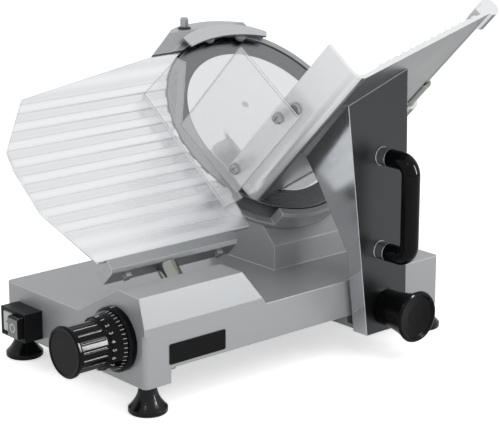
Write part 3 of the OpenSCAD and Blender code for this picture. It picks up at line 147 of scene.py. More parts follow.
def finish(name, colour, grain, rough, depth, spread=0.08, edge_wear_and_highlight=None, edge=1.0, face=None, face_rough=0,
           drawn=None, **principled):
    """A finish whose pattern moves its colour, gloss and bump.

    The grain is in millimetres along x, y and z, and drawn may give another pattern in its place. The colour
    moves by the spread, the roughness between the two values of rough, and the bump by depth in millimetres.
    Edges of the given width in millimetres look rounded, and take the edge colour where there is one: wear on
    some finishes, a painted highlight on the metal ones. The face is a direction and a colour: the faces that
    look that way are painted in that colour, a second colour of the thing on some finishes and a painted shade
    on others, and are rougher by face_rough.
    """
    material = bpy.data.materials.new(name)
    material.use_nodes = True
    tree = material.node_tree
    shader = tree.nodes["Principled BSDF"]
    for key, value in principled.items():
        shader.inputs[key.replace("_", " ")].default_value = value
    place = add_node(tree, "ShaderNodeTexCoord")
    if drawn:
        pattern = drawn(tree, place.outputs["Object"])
    else:
        scaled = add_node(tree, "ShaderNodeMapping", {
            "Vector": place.outputs["Object"], "Scale": [1 / (size * MM) for size in grain]})
        noise = add_node(tree, "ShaderNodeTexNoise", {"Vector": scaled.outputs[0], "Scale": 1, "Detail": 3})
        pattern = noise.outputs["Fac"]
    tones = [colour] + ([linear(face[1])] if face else [])
    shades = [add_node(tree, "ShaderNodeMix", {
        0: pattern, 6: shaded(tone, 1 - spread), 7: shaded(tone, 1 + spread)}, data_type="RGBA").outputs[2]
        for tone in tones]
    seen = shades[0]
    # The face colour is a second colour of the thing on some finishes and a painted shade on others
    if face:
        along = add_node(tree, "ShaderNodeVectorMath", {0: place.outputs["Normal"], 1: face[0]},
                         operation="DOT_PRODUCT")
        facing = add_node(tree, "ShaderNodeMapRange", {
            "Value": along.outputs["Value"], "From Min": FACING_FROM, "From Max": FACING_FULL})
        seen = add_node(tree, "ShaderNodeMix", {0: facing.outputs[0], 6: seen, 7: shades[1]},
                        data_type="RGBA").outputs[2]
    rounded = add_node(tree, "ShaderNodeBevel", {"Radius": edge * MM}, samples=EDGE_SAMPLES)
    # The edge colour is wear on some finishes and a painted highlight on the metal ones
    if edge_wear_and_highlight:
        true = add_node(tree, "ShaderNodeNewGeometry")
        turned = add_node(tree, "ShaderNodeVectorMath", {0: rounded.outputs[0], 1: true.outputs["Normal"]},
                          operation="DOT_PRODUCT")
        edge_wear_and_highlight_mask = add_node(tree, "ShaderNodeMapRange", {
            "Value": turned.outputs["Value"], "From Min": EDGE_WEAR_AND_HIGHLIGHT_FROM, "From Max": EDGE_WEAR_AND_HIGHLIGHT_FULL}, name="edge_wear_and_highlight_mask")
        seen = add_node(tree, "ShaderNodeMix", {0: edge_wear_and_highlight_mask.outputs[0], 6: seen, 7: linear(edge_wear_and_highlight)},
                        data_type="RGBA").outputs[2]
    gloss = add_node(tree, "ShaderNodeMapRange", {
        "Value": pattern, "From Min": PATTERN_LOW, "From Max": PATTERN_HIGH,
        "To Min": rough[0], "To Max": rough[1]})
    if face_rough:
        gloss = add_node(tree, "ShaderNodeMath", {0: facing.outputs[0], 1: face_rough, 2: gloss.outputs[0]},
                         operation="MULTIPLY_ADD")
    relief = add_node(tree, "ShaderNodeBump", {
        "Height": pattern, "Normal": rounded.outputs[0], "Strength": BUMP_STRENGTH,
        "Distance": depth * MM})
    tree.links.new(seen, shader.inputs["Base Color"])
    tree.links.new(gloss.outputs[0], shader.inputs["Roughness"])
    tree.links.new(relief.outputs[0], shader.inputs["Normal"])
    return material


def lacquered_casting(colours):
    # Silver lacquer over cast aluminium: satin and faintly clouded, under a thin clear coat that lights up at
    # low angles. Its edges are painted paler, a painted highlight
    return finish("lacquered_cast_aluminium", colours.casting, (1.6, 1.6, 1.6), (0.36, 0.46), 0.02,
                  spread=0.05, edge_wear_and_highlight="#c4c6c8", edge=1.8, Metallic=0.35, Coat_Weight=0.3, Coat_Roughness=0.2)


def polished_hood(colours):
    # Polished cast aluminium of the sharpener's hood: paler than the lacquer, with faint streaks
    return finish("polished_cast_aluminium", linear("#bfc1c3"), (30, 8, 8), (0.22, 0.28), 0.004, spread=0.03,
                  edge=0.8, Metallic=1.0)


def linished_arm(colours):
    # Cast aluminium of the arm: polished on its narrow faces, which mirror the plate and the deck. Its edges are
    # painted pale, a painted highlight, and its outer face is painted dark grey, a painted shade, and left rougher
    return finish("linished_cast_aluminium", colours.arm, (1.3, 1.3, 1.3), (0.12, 0.2), 0.002, spread=0.08,
                  edge_wear_and_highlight="#d4d6d7", edge=1.4, face=(RIGHT, "#4a4c4d"), face_rough=0.2, Metallic=1.0)


def anodised_tray(colours):
    # Satin anodised aluminium: smooth, pale and a little milky where the food slides; its underside is painted
    # dull grey, a painted shade
    under = math.sin(TRAY_TURN) * -FRONT - math.cos(TRAY_TURN) * UP_SLOPE
    return finish("satin_anodised_aluminium", colours.tray, (60, 60, 60), (0.22, 0.27), 0.002, spread=0.02,
                  edge=1.0, face=(under, "#66686a"), Metallic=0.65)


def ribbed_plate(colours):
    # Brushed aluminium plate: pale, with soft ribs rolled along it and fine brushing between them. Its colour is
    # painted paler on each rib and darker between them, a painted light and shade
    return finish("brushed_aluminium", colours.gauge, None, (0.26, 0.36), 0.5, spread=0.075, edge=3.0,
                  drawn=rib_bands, Metallic=1.0)


def rib_bands(tree, place):
    """High on each rib of the gauge plate and low between, with brushing drawn coarse, so that it shows."""
    pitch, crest = 22 * MM, 71.5 * MM
    line_width, line_length = 0.9 * MM, 70 * MM
    rib_share, mean_level, line_share = 0.42, 0.4, 0.2
    turn = 2 * math.pi / pitch
    height = add_node(tree, "ShaderNodeVectorMath", {0: place, 1: UP_SLOPE}, operation="DOT_PRODUCT")
    phase = add_node(tree, "ShaderNodeMath", {
        0: height.outputs["Value"], 1: turn, 2: -turn * (BLADE_CENTRE.dot(UP_SLOPE) + crest)},
        operation="MULTIPLY_ADD")
    wave = add_node(tree, "ShaderNodeMath", {0: phase.outputs[0]}, operation="COSINE")
    lines = add_node(tree, "ShaderNodeMapping", {
        "Vector": place, "Scale": [1 / line_width, 1 / line_length, 1 / line_width]})
    brushing = add_node(tree, "ShaderNodeTexNoise", {"Vector": lines.outputs[0], "Scale": 1, "Detail": 2})
    ribs = add_node(tree, "ShaderNodeMath", {0: wave.outputs[0], 1: rib_share, 2: mean_level},
                    operation="MULTIPLY_ADD")
    both = add_node(tree, "ShaderNodeMath", {0: brushing.outputs["Fac"], 1: line_share, 2: ribs.outputs[0]},
                    operation="MULTIPLY_ADD")
    return both.outputs[0]


def milled_bracket(colours):
    # Milled aluminium bracket under the plate: greyer, with its edges painted bright, a painted highlight
    return finish("milled_aluminium", linear("#a2a4a6"), (0.9, 30, 0.9), (0.3, 0.42), 0.01, spread=0.06,
                  edge_wear_and_highlight="#d8d9da", Metallic=1.0)


def ground_blade(colours):
    # Ground stainless steel: fine rings from the grinding wheel, which draw the light out across them. Its edges
    # are painted pale, a painted highlight
    material = finish("ground_stainless_steel", linear("#7c7e80"), None, (0.22, 0.34), 0.01, spread=0.1,
                      edge_wear_and_highlight="#c9cbcc", edge=0.6, drawn=grinding_rings, Metallic=1.0, Anisotropic=0.7)
    tree = material.node_tree
    place = add_node(tree, "ShaderNodeTexCoord")
    out = add_node(tree, "ShaderNodeVectorMath", {0: place.outputs["Object"], 1: BLADE_CENTRE},
                   operation="SUBTRACT")
    along = add_node(tree, "ShaderNodeVectorMath", {0: BLADE_AXIS, 1: out.outputs[0]},
                     operation="CROSS_PRODUCT")
    in_world = add_node(tree, "ShaderNodeVectorTransform", {0: along.outputs[0]}, vector_type="VECTOR",
                        convert_from="OBJECT", convert_to="WORLD")
    tree.links.new(in_world.outputs[0], tree.nodes["Principled BSDF"].inputs["Tangent"])
    return material


def grinding_rings(tree, place):
    """Rings about the blade's axis, drawn coarser than real ones, so that they show."""
    spacing = 2.4 * MM
    out = add_node(tree, "ShaderNodeVectorMath", {0: place, 1: BLADE_CENTRE}, operation="SUBTRACT")
    radius = add_node(tree, "ShaderNodeVectorMath", {0: out.outputs[0]}, operation="LENGTH")
    spot = add_node(tree, "ShaderNodeMath", {0: radius.outputs["Value"], 1: 1 / spacing},
                    operation="MULTIPLY")
    rings = add_node(tree, "ShaderNodeTexNoise", {"W": spot.outputs[0], "Scale": 1, "Detail": 3},
                     noise_dimensions="1D")
    return rings.outputs["Fac"]


def mirror_cover(colours):
    # Polished stainless steel: nearly a mirror, with a trace of spinning rings, and its edges painted a touch
    # paler, a painted highlight
    return finish("mirror_stainless_steel", linear("#e2e3e5"), None, (0.04, 0.08), 0.002, spread=0.03,
                  drawn=grinding_rings, edge_wear_and_highlight="#e4e5e6", edge=0.8, Metallic=1.0)


def chromed_steel(colours):
    # Chromed steel rod: a clear mirror with a trace of handling marks, and its edges painted pale, a painted
    # highlight
    return finish("chromed_steel", linear("#93958f"), (9, 9, 9), (0.08, 0.14), 0.003, spread=0.05,
                  edge_wear_and_highlight="#d0d1d2", edge=0.6, Metallic=1.0)


def turned_pin(colours):
    # Turned steel pin: bright, ringed by the lathe tool, with its edges painted paler, a painted highlight
    return finish("turned_steel", linear("#a3a5a8"), (40, 40, 1.1), (0.14, 0.24), 0.02, spread=0.25,
                  edge_wear_and_highlight="#dcdddf", edge=0.8, Metallic=1.0)


def zinc_steel(colours):
    # Zinc-plated steel of the fasteners: grey, a little cloudy, with its edges painted bright, a painted highlight
    return finish("zinc_plated_steel", linear("#9fa1a3"), (2, 2, 2), (0.26, 0.38), 0.01,
                  edge_wear_and_highlight="#d4d5d6", edge=0.5, Metallic=1.0)


def painted_sheet(colours):
    # Grey powder coat on sheet steel: fine orange peel
    return finish("powder_coated_steel", linear("#6d6f71"), (1.5, 1.5, 1.5), (0.45, 0.6), 0.05)


def gloss_moulding(colours):
    # Black phenolic moulding, polished: deep black with sharp highlights and a faint ripple in them
    return finish("black_phenolic", colours.moulding, (6, 6, 6), (0.08, 0.13), 0.005, spread=0.2, edge=1.0,
                  Specular_IOR_Level=0.1)


def capped_knob(colours):
    # Black phenolic, dark grey on the faces that look to the front
    return finish("capped_black_phenolic", colours.moulding, (6, 6, 6), (0.08, 0.13), 0.005, spread=0.2,
                  edge=1.0, face=(FRONT, "#101112"), Specular_IOR_Level=0.1)


def black_abs(colours):
    # Black ABS moulding: fine spark texture from the mould
    return finish("black_abs", linear("#0d0e0f"), (0.8, 0.8, 0.8), (0.32, 0.42), 0.02, spread=0.15,
                  edge_wear_and_highlight="#222324", edge=0.9, Specular_IOR_Level=0.15)


def pale_button(colours):
    # Pale grey ABS button: satin
    return finish("pale_grey_abs", linear("#bcbfbd"), (0.9, 0.9, 0.9), (0.4, 0.5), 0.02, spread=0.05,
                  edge=0.8)


def two_shot_button(colours):
    # Grey ABS face moulded on a black body, with a pale rub along the edges of the face
    return finish("two_shot_abs", linear("#101112"), (0.9, 0.9, 0.9), (0.34, 0.44), 0.02, spread=0.06,
                  edge_wear_and_highlight="#a9abab", edge=0.7, face=(FRONT, "#7a7c7d"), Specular_IOR_Level=0.15)


def foot_rubber(colours):
    # Moulded black rubber with a wet sheen, dull where the mould was textured
    return finish("moulded_rubber", linear("#0b0b0c"), (2.5, 2.5, 2.5), (0.14, 0.24), 0.02, spread=0.3,
                  Specular_IOR_Level=0.2)


def motor_enamel(colours):
    # Black enamel on the motor's casting
    return finish("black_enamel", linear("#1d1e20"), (1.5, 1.5, 1.5), (0.3, 0.42), 0.03, edge_wear_and_highlight="#55575a")


def sintered_bronze(colours):
    # Sintered bronze of the slide bushes: warm and porous
    return finish("sintered_bronze", linear("#b08a55"), (0.6, 0.6, 0.6), (0.4, 0.55), 0.03, Metallic=1.0)


def grinding_stone(colours):
    # Fused-alumina grinding stone: open grit; drawn coarser than real to show
    return finish("fused_alumina_stone", linear("#7b7c7e"), (0.7, 0.7, 0.7), (0.8, 0.95), 0.2, spread=0.3)


def white_print():
    # White pad print on black plastic: flat, a little uneven
    return finish("white_pad_print", linear("#c2c2bd"), (1, 1, 1), (0.5, 0.62), 0.005, spread=0.06)


def clear_acrylic(colours):
    # Clear cast acrylic: a faint haze on the large sheet, less on the lip by the blade, and grey cut edges
    sheet_haze, lip_haze, edge_cover = 0.3, 0.18, 0.7
    lip_from, lip_full = 0.6, 0.9
    material = finish("clear_cast_acrylic", linear("#f2f4f5"), (30, 30, 30), (0.03, 0.06), 0.001, spread=0.01,
                      edge_wear_and_highlight="#868e91", edge=1.6, IOR=1.49, Specular_IOR_Level=0.3)
    tree = material.node_tree
    place = add_node(tree, "ShaderNodeTexCoord")
    along = add_node(tree, "ShaderNodeVectorMath", {0: place.outputs["Normal"], 1: BLADE_AXIS},
                     operation="DOT_PRODUCT")
    lip = add_node(tree, "ShaderNodeMath", {0: along.outputs["Value"]}, operation="ABSOLUTE")
    haze = add_node(tree, "ShaderNodeMapRange", {
        "Value": lip.outputs[0], "From Min": lip_from, "From Max": lip_full,
        "To Min": sheet_haze, "To Max": lip_haze})
    cover = add_node(tree, "ShaderNodeMath", {
        0: tree.nodes["edge_wear_and_highlight_mask"].outputs[0], 1: edge_cover, 2: haze.outputs[0]}, operation="MULTIPLY_ADD")
    tree.links.new(cover.outputs[0], tree.nodes["Principled BSDF"].inputs["Alpha"])
    return material


def black_plate():
    # Black anodised aluminium plate: satin, with a fine grain along its length
    return finish("black_anodised_aluminium", linear("#0e0e0f"), (0.8, 25, 0.8), (0.3, 0.4), 0.01,
                  spread=0.15, edge_wear_and_highlight="#48494b", edge=0.5, Specular_IOR_Level=0.1)


FINISH_OF_SLOT = {
    "cast_aluminium": lacquered_casting,
    "polished_aluminium": anodised_tray,
    "brushed_aluminium": ribbed_plate,
    "sheet_steel": painted_sheet,
    "blade_steel": ground_blade,
    "polished_steel": chromed_steel,
    "steel": zinc_steel,
    "rubber": foot_rubber,
    "black_plastic": gloss_moulding,
    "dark_plastic": black_abs,
    "light_button": pale_button,
    "grey_button": two_shot_button,
    "clear_plastic": clear_acrylic,
    "motor_paint": motor_enamel,
    "bronze": sintered_bronze,
    "grinding_stone": grinding_stone,
}
FINISH_OF_NODE = {
    "sharpener_hood": polished_hood,
    "carriage_arm": linished_arm,
    "gauge_bracket": milled_bracket,
    "blade_cover": mirror_cover,
    "sharpener_pin": turned_pin,
    "dial_knob": capped_knob,
}


def set_piece(name, mesh, material, body):
    """Links a mesh as a piece that rides on a body and takes its finish from a slot."""
    piece = bpy.data.objects.new(name, mesh)
    mesh.name = name
    bpy.context.scene.collection.objects.link(piece)
    if not mesh.materials:
        mesh.materials.append(material)
    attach(piece, body)


def mesh_from(build, *values):
    """Runs a bmesh builder and returns its mesh with faces outwards."""
    shape = bmesh.new()
    build(shape, *values)
    bmesh.ops.remove_doubles(shape, verts=shape.verts, dist=0.001 * MM)
    bmesh.ops.recalc_face_normals(shape, faces=shape.faces)
    mesh = bpy.data.meshes.new("piece")
    shape.to_mesh(mesh)
    shape.free()
    return mesh


def lathe(shape, profile, centre, axis, sides=64):
    """Turns a closed profile of (radius, height) points about an axis."""
    turn = UP.rotation_difference(axis).to_matrix()
    rings = []
    for i in range(sides):
        angle = 2 * math.pi * i / sides
        around = Vector((math.cos(angle), math.sin(angle), 0))
        rings.append([
            shape.verts.new(centre + turn @ (around * radius + Vector((0, 0, height))))
            for radius, height in profile])
    for i in range(sides):
        ring, following = rings[i], rings[(i + 1) % sides]
        for k in range(len(profile)):
            after = (k + 1) % len(profile)
            shape.faces.new((ring[k], ring[after], following[after], following[k]))


def slab(shape, centre, along, out, size, bevel, corner):
    """A slab of length, width and thickness with rounded corners, whose bevelled face looks out."""
    across = out.cross(along)
    steps = 6
    outlines = []
    for inset, height in ((0, -size[2] / 2), (0, size[2] / 2 - bevel), (bevel, size[2] / 2)):
        points = []
        for quarter, (side, up) in enumerate(((1, 1), (-1, 1), (-1, -1), (1, -1))):
            for k in range(steps + 1):
                angle = math.pi / 2 * (quarter + k / steps)
                reach = corner - inset
                u = side * (size[0] / 2 - corner) + math.cos(angle) * reach
                v = up * (size[1] / 2 - corner) + math.sin(angle) * reach
                points.append(shape.verts.new(centre + along * u + across * v + out * height))
        outlines.append(points)
    for low, high in zip(outlines, outlines[1:]):
        for k in range(len(low)):
            after = (k + 1) % len(low)
            shape.faces.new((low[k], low[after], high[after], high[k]))
    shape.faces.new(outlines[0])
    shape.faces.new(outlines[-1])


class SLICER_OT_materials(bpy.types.Operator):
    """Gives every CAD node its own finish, or that of its material slot"""

    bl_idname = "slicer.materials"
    bl_label = "Finish the CAD pieces"

    def execute(self, context):
        made = {}
        for row in frame["record"]["subparts"]:
            make = FINISH_OF_NODE.get(row["node"], FINISH_OF_SLOT[row["material_slot"]])
            if make not in made:
                made[make] = make(context.scene.slicer_colours)
            node = frame["nodes"][row["node"]]
            node.data.materials.clear()
            node.data.materials.append(made[make])
        return {"FINISHED"}


def tick_tree(material):
    """A Geometry Nodes tree that sets ticks round a cone about the y axis."""
    tree = bpy.data.node_groups.new("dial_ticks", "GeometryNodeTree")
    sockets = tree.interface
    sockets.new_socket("Geometry", in_out="OUTPUT", socket_type="NodeSocketGeometry")
    for name, kind in (
            ("Count", "NodeSocketInt"), ("Sweep", "NodeSocketFloat"), ("Radius", "NodeSocketFloat"),
            ("Tilt", "NodeSocketFloat"), ("Size", "NodeSocketVector")):
        sockets.new_socket(name, in_out="INPUT", socket_type=kind)
    given = add_node(tree, "NodeGroupInput").outputs
    points = add_node(tree, "GeometryNodePoints", {"Count": given["Count"]})
    index = add_node(tree, "GeometryNodeInputIndex")
    gaps = add_node(tree, "ShaderNodeMath", {0: given["Count"], 1: 1}, operation="SUBTRACT")
    share = add_node(tree, "ShaderNodeMath", {0: index.outputs[0], 1: gaps.outputs[0]}, operation="DIVIDE")
    angle = add_node(tree, "ShaderNodeMath", {0: share.outputs[0], 1: given["Sweep"]}, operation="MULTIPLY")
    turn = add_node(tree, "ShaderNodeCombineXYZ", {"X": given["Tilt"], "Y": angle.outputs[0]})
    about = add_node(tree, "ShaderNodeCombineXYZ", {"Y": angle.outputs[0]})
    up = add_node(tree, "ShaderNodeCombineXYZ", {"Z": given["Radius"]})
    place = add_node(tree, "ShaderNodeVectorRotate", {"Vector": up.outputs[0], "Rotation": about.outputs[0]},
                     rotation_type="EULER_XYZ")
    moved = add_node(tree, "GeometryNodeSetPosition", {
        "Geometry": points.outputs[0], "Position": place.outputs[0]})
    tick = add_node(tree, "GeometryNodeMeshCube", {"Size": given["Size"]})
    spread = add_node(tree, "GeometryNodeInstanceOnPoints", {
        "Points": moved.outputs[0], "Instance": tick.outputs[0], "Rotation": turn.outputs[0]})
    real = add_node(tree, "GeometryNodeRealizeInstances", {"Geometry": spread.outputs[0]})
    painted = add_node(tree, "GeometryNodeSetMaterial", {"Geometry": real.outputs[0], "Material": material})
    add_node(tree, "NodeGroupOutput", {"Geometry": painted.outputs[0]})
    return tree


def baked_ticks(tree, values):
    """Evaluates the tick tree with the given inputs and returns a plain mesh."""
    carrier = bpy.data.objects.new("ticks", bpy.data.meshes.new("ticks"))
    bpy.context.scene.collection.objects.link(carrier)
    modifier = carrier.modifiers.new("ticks", "NODES")
    modifier.node_group = tree
    for socket in tree.interface.items_tree:
        if socket.in_out == "INPUT":
            modifier[socket.identifier] = values[socket.name]
    mesh = bpy.data.meshes.new_from_object(carrier.evaluated_get(bpy.context.evaluated_depsgraph_get()))
    carrier.modifiers.remove(modifier)
    bpy.data.objects.remove(carrier)
    return mesh


def collar_place(from_bezel):
    """Place along y, radius and slope on the dial's collar, at a distance from the bezel."""
    wide_r, thin_r, length = 33 * MM, 29 * MM, 17 * MM
    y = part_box("dial_bezel")[0].y - from_bezel
    return y, wide_r - (wide_r - thin_r) * from_bezel / length, math.atan2(wide_r - thin_r, length)


class SLICER_OT_dial_marks(bpy.types.Operator):
    """Prints the graduations and the numbers on the dial's collar, and the index line over them"""

    bl_idname = "slicer.dial_marks"
    bl_label = "Mark the dial"
    bezel_gap, tick_thick = 0.8 * MM, 0.3 * MM
    numeral_gap, numeral_half_thick, numeral_bold = 4 * MM, 0.15 * MM, 0.05 * MM
    index_size, index_bevel, index_corner = (6 * MM, 1.1 * MM, 0.5 * MM), 0.1 * MM, 0.4 * MM

    def execute(self, context):
        sizes = context.scene.slicer_sizes
        paint = white_print()
        sweep = math.radians(JOINTS["dial_turn"]["range_deg"][1])
        y, radius, slope = collar_place(self.bezel_gap + sizes.tick_length / 2)
        ticks = baked_ticks(tick_tree(paint), {
            "Count": sizes.dial_numbers * sizes.ticks_per_number + 1, "Sweep": sweep, "Radius": radius,
            "Tilt": slope, "Size": (sizes.tick_width, sizes.tick_length, self.tick_thick)})
        ticks.transform(Matrix.Translation((DIAL_CENTRE.x, y, DIAL_CENTRE.z)))
        set_piece("dial_ticks", ticks, paint, "dial")
        set_piece("dial_numerals", self.numerals(sizes, sweep), paint, "dial")
        low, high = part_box("dial_bezel")
        top = Vector((DIAL_CENTRE.x, (low.y + high.y) / 2, high.z))
        line = mesh_from(slab, top, FRONT, UP, self.index_size, self.index_bevel, self.index_corner)
        set_piece("index_line", line, paint, "base")
        return {"FINISHED"}

    def numerals(self, sizes, sweep):
        y, radius, slope = collar_place(self.bezel_gap + sizes.tick_length + self.numeral_gap)
        joined = bmesh.new()
        for number in range(sizes.dial_numbers + 1):
            text = bpy.data.curves.new("numeral", "FONT")
            text.body = str(number)
            text.size = sizes.numeral_height
            text.align_x = "CENTER"
            text.align_y = "CENTER"
            text.extrude = self.numeral_half_thick
            text.offset = self.numeral_bold
            text.resolution_u = 3
            carrier = bpy.data.objects.new("numeral", text)
            bpy.context.scene.collection.objects.link(carrier)
            mesh = bpy.data.meshes.new_from_object(
                carrier.evaluated_get(bpy.context.evaluated_depsgraph_get()))
            bpy.data.objects.remove(carrier)
            angle = sweep * number / sizes.dial_numbers
            on_cone = Euler((slope, angle, 0)).to_matrix().to_4x4()
            mesh.transform(on_cone @ Matrix.Translation((0, 0, radius)))
            mesh.transform(Matrix.Translation((DIAL_CENTRE.x, y, DIAL_CENTRE.z)))
            joined.from_mesh(mesh)
            bpy.data.meshes.remove(mesh)
        mesh = bpy.data.meshes.new("numerals")
        joined.to_mesh(mesh)
        joined.free()
        return mesh


class SLICER_OT_switch_marks(bpy.types.Operator):
    """Prints the bar and the ring on the two switch buttons"""

    bl_idname = "slicer.switch_marks"
    bl_label = "Mark the switch"
    bar_size, bar_bevel, bar_corner = (8 * MM, 1.7 * MM, 0.4 * MM), 0.1 * MM, 0.6 * MM
    ring_inner, ring_outer, ring_half_thick = 3.7 * MM, 5.2 * MM, 0.2 * MM

    def execute(self, context):
        # Pad print, dark on the pale button and pale on the dark one: flat, a little uneven
        dark = finish("dark_pad_print", linear("#2a2c2d"), (1, 1, 1), (0.5, 0.62), 0.005)
        pale = finish("pale_pad_print", linear("#c4c6c6"), (1, 1, 1), (0.5, 0.62), 0.005)
        low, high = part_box("switch_button_on")
        middle = Vector(((low.x + high.x) / 2, low.y, (low.z + high.z) / 2))
        bar = mesh_from(slab, middle, RIGHT, FRONT, self.bar_size, self.bar_bevel, self.bar_corner)
        set_piece("switch_bar_mark", bar, dark, "button_on")
        low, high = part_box("switch_button_off")
        middle = Vector(((low.x + high.x) / 2, low.y, (low.z + high.z) / 2))
        inner, outer, top = self.ring_inner, self.ring_outer, self.ring_half_thick
        ring = mesh_from(lathe, ((inner, -top), (outer, -top), (outer, top), (inner, top)), middle, FRONT)
        set_piece("switch_ring_mark", ring, pale, "button_off")
        return {"FINISHED"}


class SLICER_OT_plate(bpy.types.Operator):
    """Sets the bare black plate on the side of the base"""

    bl_idname = "slicer.plate"
    bl_label = "Set the bare plate"

    def execute(self, context):
        sizes = context.scene.slicer_sizes
        low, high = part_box("base_casting")
        thick, bevel, corner = 1.0 * MM, 0.4 * MM, 2 * MM
        from_front, from_below = 71.5 * MM, 32.5 * MM
        centre = Vector((high.x + thick / 2, low.y + from_front, low.z + from_below))
        plate = mesh_from(slab, centre, -FRONT, RIGHT, (sizes.plate_length, sizes.plate_height, thick),
                          bevel, corner)
        set_piece("bare_plate", plate, black_plate(), "base")
        return {"FINISHED"}


class SLICER_OT_small_trim(bpy.types.Operator):
    """Sets the bush that guides the sharpener pin and the slotted head on the tray's fence"""

    bl_idname = "slicer.small_trim"
    bl_label = "Set the small trim"

    def execute(self, context):
        sizes = context.scene.slicer_sizes
        self.pin_bush(sizes)
        self.fence_head(sizes, context.scene.slicer_colours)
        return {"FINISHED"}

    def pin_bush(self, sizes):
        low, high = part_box("sharpener_pin")
        centre = Vector(((low.x + high.x) / 2, (low.y + high.y) / 2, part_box("blade_ring")[1].z))
        clearance, chamfer, tall, straight = 0.3 * MM, 1 * MM, 2.4 * MM, 1.44 * MM
        bore, outer = (high.x - low.x) / 2 + clearance, sizes.bush_radius
        bush = mesh_from(lathe, (
            (bore, 0), (outer, 0), (outer, straight), (outer - chamfer, tall), (bore, tall)), centre, UP)
        # Black acetal: satin, a little paler on its edges
        material = finish("black_acetal", linear("#1a1b1c"), (1, 1, 1), (0.3, 0.4), 0.01, edge_wear_and_highlight="#3a3b3c",
                          edge=0.5)
        set_piece("pin_bush", bush, material, "base")

    def fence_head(self, sizes, colours):
        # On the fence's front face, up the tray from the guard's second screw. The fence's foot is measured
        # from the base's front right corner, as in the CAD source, and the head from the fence's foot
        foot_back, foot_rise = 232 * MM, 166.35 * MM
        head_up, head_out = 34 * MM, 182 * MM
        along = math.cos(TRAY_TURN) * -FRONT + math.sin(TRAY_TURN) * UP_SLOPE
        up = math.cos(TRAY_TURN) * UP_SLOPE - math.sin(TRAY_TURN) * -FRONT
        base_low, base_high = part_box("base_casting")
        corner = Vector((base_high.x, base_low.y, base_low.z))
        fence_foot = corner + foot_back * -FRONT + foot_rise * UP_SLOPE
        seat = fence_foot + head_up * up + head_out * BLADE_AXIS
        r, tall, half_slot = sizes.fence_head_radius, 4 * MM, 0.8 * MM
        rim_height, top_share = tall * 0.7, 0.86
        hole_r, floor_r, floor_height = 0.4 * MM, r * 0.99, tall * 0.45

        def head(shape):
            sides = 40
            outline = [Vector((math.cos(a), math.sin(a))) for a in
                       (2 * math.pi * (i + 0.5) / sides for i in range(sides))]

            def ring(points, share, height):
                return [shape.verts.new(seat + (p.x * up + p.y * BLADE_AXIS) * share - along * height)
                        for p in points]

            for half in (1, -1):
                flank = [p * r for p in outline if p.y * half > half_slot / r]
                flank.sort(key=lambda p: p.x * -half)
                start, side = math.sqrt(r * r - half_slot * half_slot) * half, half_slot * half
                flank = [Vector((start, side))] + flank + [Vector((-start, side))]
                foot, rim, top = ring(flank, 1, 0), ring(flank, 1, rim_height), ring(flank, top_share, tall)
                for low, high in ((foot, rim), (rim, top)):
                    for k in range(len(low)):
                        after = (k + 1) % len(low)
                        shape.faces.new((low[k], low[after], high[after], high[k]))
                shape.faces.new(foot)
                shape.faces.new(top)
            lathe(shape, (
                (hole_r, 0), (floor_r, 0), (floor_r, floor_height), (hole_r, floor_height)), seat, -along)

        set_piece("fence_head", mesh_from(head), zinc_steel(colours), "carriage")


